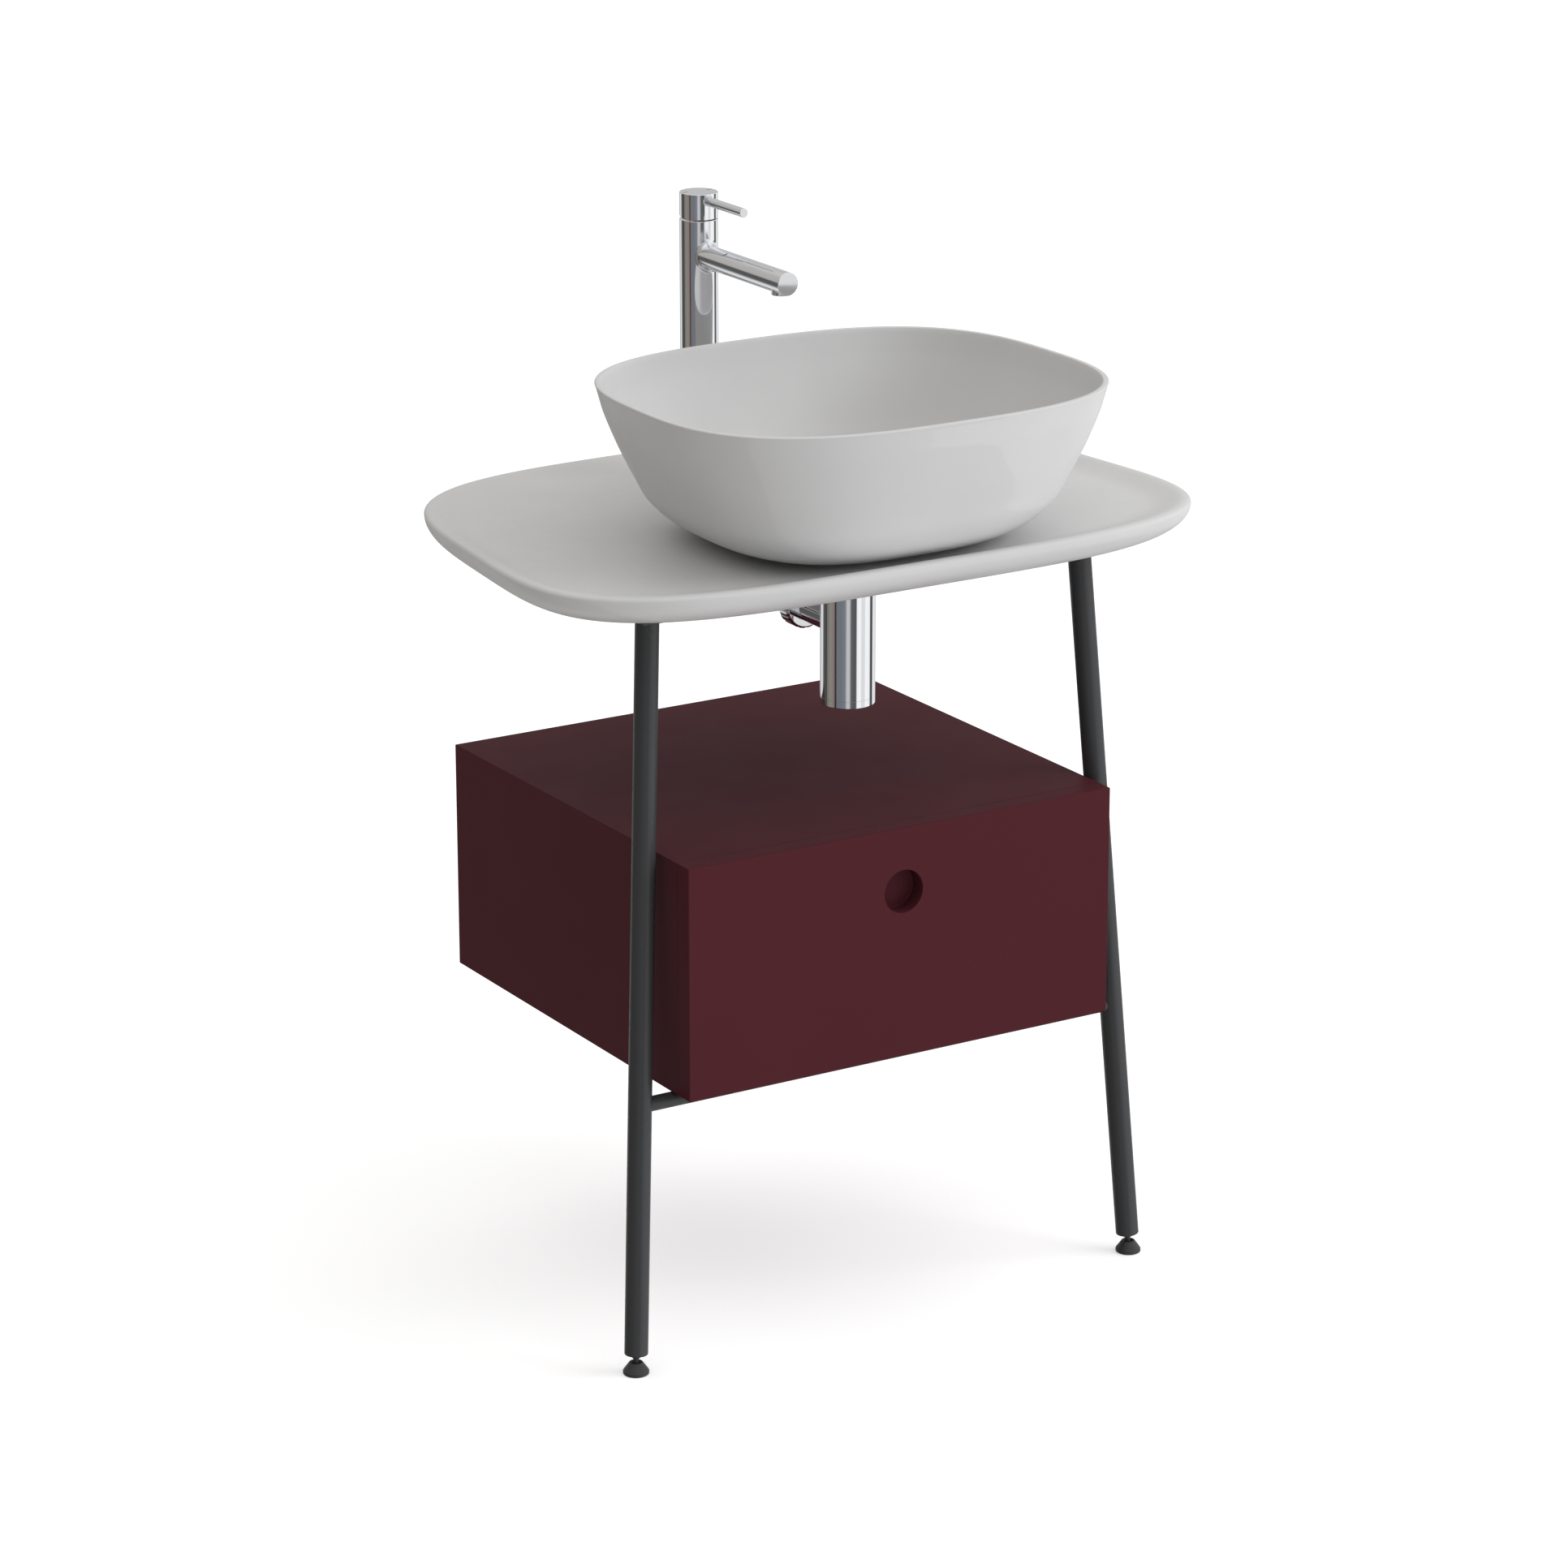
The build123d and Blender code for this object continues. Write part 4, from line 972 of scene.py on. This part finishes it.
# ---------------------------------------------------------------- feet
def build_feet():
    """Each foot's pad: a cone with a rounded rim, hollowed to take the ball on its stem."""
    for word in ("left", "right"):
        low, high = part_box(f"{word}_foot_pad")
        axis = (low + high) / 2
        r = (high.x - low.x) / 2
        height = high.z - low.z
        mouth, throat = 6.2 * MM, 4.0 * MM
        ball_z, ball_r = 7 * MM, 5.05 * MM
        rim_height = 3.6 * MM
        socket_end, socket_steps = 37.8, 8
        socket = []
        for step in range(socket_steps):
            a = radians(-90 + (90 + socket_end) * step / socket_steps)
            socket.append((max(0.0, ball_r * cos(a)), ball_z + ball_r * sin(a)))
        socket.append((throat, ball_z + sqrt(ball_r ** 2 - throat ** 2)))
        outside = rounded([(mouth - 0.2 * MM, height), (mouth + 0.9 * MM, height), (r, rim_height),
                           (r, 0.8 * MM), (r - 1 * MM, 0), (0, 0)],
                          [0, 0.7 * MM, 1.5 * MM, 0.6 * MM, 0.4 * MM, 0])
        profile = outside[::-1] + [(mouth - 0.5 * MM, height - 0.4 * MM)] + socket[::-1]
        lathe(f"{word}_pad_cone", profile, Vector((axis.x, axis.y, 0)), VERTICAL, f"{word}_pad", "plastic",
              [f"{word}_foot_pad"])


build_counter()
build_bowl()
build_mixer_casting()
build_aerator()
build_handle_cap()
build_lever()
build_waste()
build_trap()
build_outlet_nut()
build_rosette()
build_cabinet()
build_drawer_front()
build_feet()
for name, edge in (("drawer_left", 1.5), ("drawer_right", 1.5), ("drawer_back", 1.5), ("drawer_bottom", 0.5),
                   ("carcass_back", 0.5)):
    board(name, edge * MM, "drawer" if name.startswith("drawer") else "vanity")


# ---------------------------------------------------------------- stage, light and camera
def build_floor():
    """A pale floor that takes the shadows, and that neither gloss nor bounced light sees."""
    half_width = 40
    bm = bmesh.new()
    bmesh.ops.create_grid(bm, x_segments=8, y_segments=8, size=half_width)
    mesh = bpy.data.meshes.new("studio_floor")
    bm.to_mesh(mesh)
    bm.free()
    floor = bpy.data.objects.new("studio_floor", mesh)
    bpy.context.scene.collection.objects.link(floor)
    material, tree, shader, place = new_material("pale_floor")
    white = (0.88, 0.88, 0.88)
    tone = noise(tree, place, 0.8, 3)
    tree.links.new(tint(tree, tone, shade(white, 0.99), white), shader.inputs["Base Color"])
    shader.inputs["Roughness"].default_value = 0.9
    shader.inputs["Specular IOR Level"].default_value = 0.1
    shader.inputs["Emission Color"].default_value = (1, 1, 1, 1)
    shader.inputs["Emission Strength"].default_value = 0.40
    mesh.materials.append(material)
    floor.visible_glossy = False
    floor.visible_diffuse = False


def build_world():
    """A soft studio, brighter at the front right, whose bright and dark cards show only in gloss.

    Each band is (heading in degrees, level) or (heading, level, red, blue), where heading 0 is the
    side that the drawer opens to and +90 is +X.
    """
    world = bpy.data.worlds.new("studio")
    bpy.context.scene.world = world
    world.use_nodes = True
    tree = world.node_tree
    background = tree.nodes["Background"]
    direction = tree.nodes.new("ShaderNodeTexCoord").outputs["Generated"]
    parts = tree.nodes.new("ShaderNodeSeparateXYZ")
    tree.links.new(direction, parts.inputs["Vector"])

    def math_node(operation, first, second=None):
        node = tree.nodes.new("ShaderNodeMath")
        node.operation = operation
        for socket, value in zip(node.inputs, (first, second)):
            if value is None:
                continue
            if isinstance(value, (int, float)):
                socket.default_value = value
            else:
                tree.links.new(value, socket)
        return node.outputs[0]

    heading = math_node("ARCTAN2", parts.outputs["X"], math_node("MULTIPLY", parts.outputs["Y"], -1.0))
    share = math_node("ADD", math_node("DIVIDE", heading, 2 * pi), 0.5)
    strongest = 1.5

    def band_ramp(bands):
        """A colour that changes with the heading."""
        ramp = tree.nodes.new("ShaderNodeValToRGB")
        stops = ramp.color_ramp.elements
        while len(stops) < len(bands):
            stops.new(0.5)
        for stop, (azimuth, level, *toning) in zip(stops, bands):
            stop.position = (azimuth + 180) / 360
            red, blue = toning or (1, 1)
            stop.color = (level * red / strongest, level / strongest, level * blue / strongest, 1)
        tree.links.new(share, ramp.inputs["Fac"])
        return ramp.outputs["Color"]

    def rise(low, high):
        """A smooth step over the height of the direction, from 0 at low to 1 at high."""
        node = tree.nodes.new("ShaderNodeMapRange")
        node.interpolation_type = "SMOOTHSTEP"
        node.inputs["From Min"].default_value = low
        node.inputs["From Max"].default_value = high
        tree.links.new(parts.outputs["Z"], node.inputs["Value"])
        return node.outputs["Result"]

    def blend(factor, below, above):
        node = tree.nodes.new("ShaderNodeMix")
        node.data_type = "RGBA"
        tree.links.new(factor, node.inputs["Factor"])
        for name, value in (("A", below), ("B", above)):
            socket = next(i for i in node.inputs if i.name == name and i.type == "RGBA")
            if isinstance(value, tuple):
                socket.default_value = value
            else:
                tree.links.new(value, socket)
        return next(o for o in node.outputs if o.type == "RGBA")

    cards = band_ramp((
        (-180, 0.42), (-177, 0.85), (-160, 0.80), (-152, 0.12), (-131, 0.06),
        (-126, 0.18, 1.08, 0.90), (-110, 0.27, 1.10, 0.88), (-91, 0.22, 1.12, 0.88), (-86, 0.04, 3.0, 0.9),
        (-82, 0.05, 2.2, 1.0), (-79, 0.20, 0.92, 1.12), (-62, 0.20, 0.94, 1.10), (-42, 0.24, 0.96, 1.08),
        (-35, 0.62, 0.97, 1.06), (-25, 0.62), (-18, 0.14), (3, 0.10), (8, 1.05), (22, 1.12), (29, 0.86),
        (42, 0.86), (48, 1.12), (71, 1.05), (75, 0.12), (90, 0.15), (95, 0.95), (120, 0.90),
        (130, 0.55, 0.98, 1.06), (180, 0.42)))
    room = band_ramp((
        (-180, 0.55, 1.03, 0.96), (-150, 0.50, 1.03, 0.96), (-120, 0.34, 1.04, 0.96), (-90, 0.36, 1.04, 0.96),
        (-60, 0.44), (-30, 0.50), (0, 0.66, 0.99, 1.03), (30, 0.98, 0.98, 1.04), (60, 1.12, 0.98, 1.04),
        (90, 0.95, 0.98, 1.03), (120, 0.66), (150, 0.58), (180, 0.55, 1.03, 0.96)))
    soft_room = band_ramp((
        (-180, 0.34), (-150, 0.27), (-120, 0.16, 1.04, 0.96), (-90, 0.15, 1.04, 0.96), (-60, 0.25),
        (-30, 0.40), (0, 0.54, 0.99, 1.02), (30, 0.72, 0.98, 1.04), (60, 0.82, 0.98, 1.04),
        (90, 0.70, 0.98, 1.03), (120, 0.48), (150, 0.39), (180, 0.34)))
    soft_low = band_ramp((
        (-180, 0.42), (-120, 0.25, 1.03, 0.96), (-90, 0.28, 1.03, 0.96), (-60, 0.62), (-30, 0.98),
        (0, 1.18, 0.99, 1.02), (30, 1.32, 0.98, 1.04), (60, 1.34, 0.98, 1.04), (90, 1.10), (120, 0.70),
        (150, 0.50), (180, 0.42)))
    ceiling = (0.98 / strongest, 0.97 / strongest, 0.96 / strongest, 1)
    ground = (0.92 / strongest, 0.89 / strongest, 0.86 / strongest, 1)
    shown = blend(rise(0.40, 0.90), blend(rise(-0.06, 0.12), cards, room), ceiling)
    low = blend(rise(-0.90, -0.35), ground, soft_low)
    soft = blend(rise(0.30, 0.75), blend(rise(-0.10, 0.10), low, soft_room), ceiling)
    glossy = tree.nodes.new("ShaderNodeLightPath").outputs["Is Glossy Ray"]
    tree.links.new(blend(glossy, soft, shown), background.inputs["Color"])
    background.inputs["Strength"].default_value = strongest


def build_light():
    """One large soft box high at the front right, for a gentle direction in the shading."""
    data = bpy.data.lights.new("soft_box", "AREA")
    data.shape = "RECTANGLE"
    data.size = 2.2
    data.size_y = 1.6
    data.energy = 44
    light = bpy.data.objects.new("soft_box", data)
    bpy.context.scene.collection.objects.link(light)
    light.visible_glossy = False
    light.location = (2.6, -2.0, 2.6)
    aim = Vector((0, 0, 0.8))
    light.rotation_euler = (aim - light.location).to_track_quat("-Z", "Y").to_euler()


def build_camera():
    """A long lens from the front left, a little above the bowl."""
    data = bpy.data.cameras.new("camera")
    data.lens = 119.78
    data.sensor_width = 36
    data.clip_end = 200
    camera = bpy.data.objects.new("camera", data)
    bpy.context.scene.collection.objects.link(camera)
    camera.location = (-2.79285, -4.50889, 2.24310)
    camera.rotation_euler = (radians(72.243), 0, radians(-31.548))
    bpy.context.scene.camera = camera


build_floor()
build_world()
build_light()
build_camera()
bpy.context.scene.view_settings.view_transform = "Standard"

bpy.context.view_layer.update()
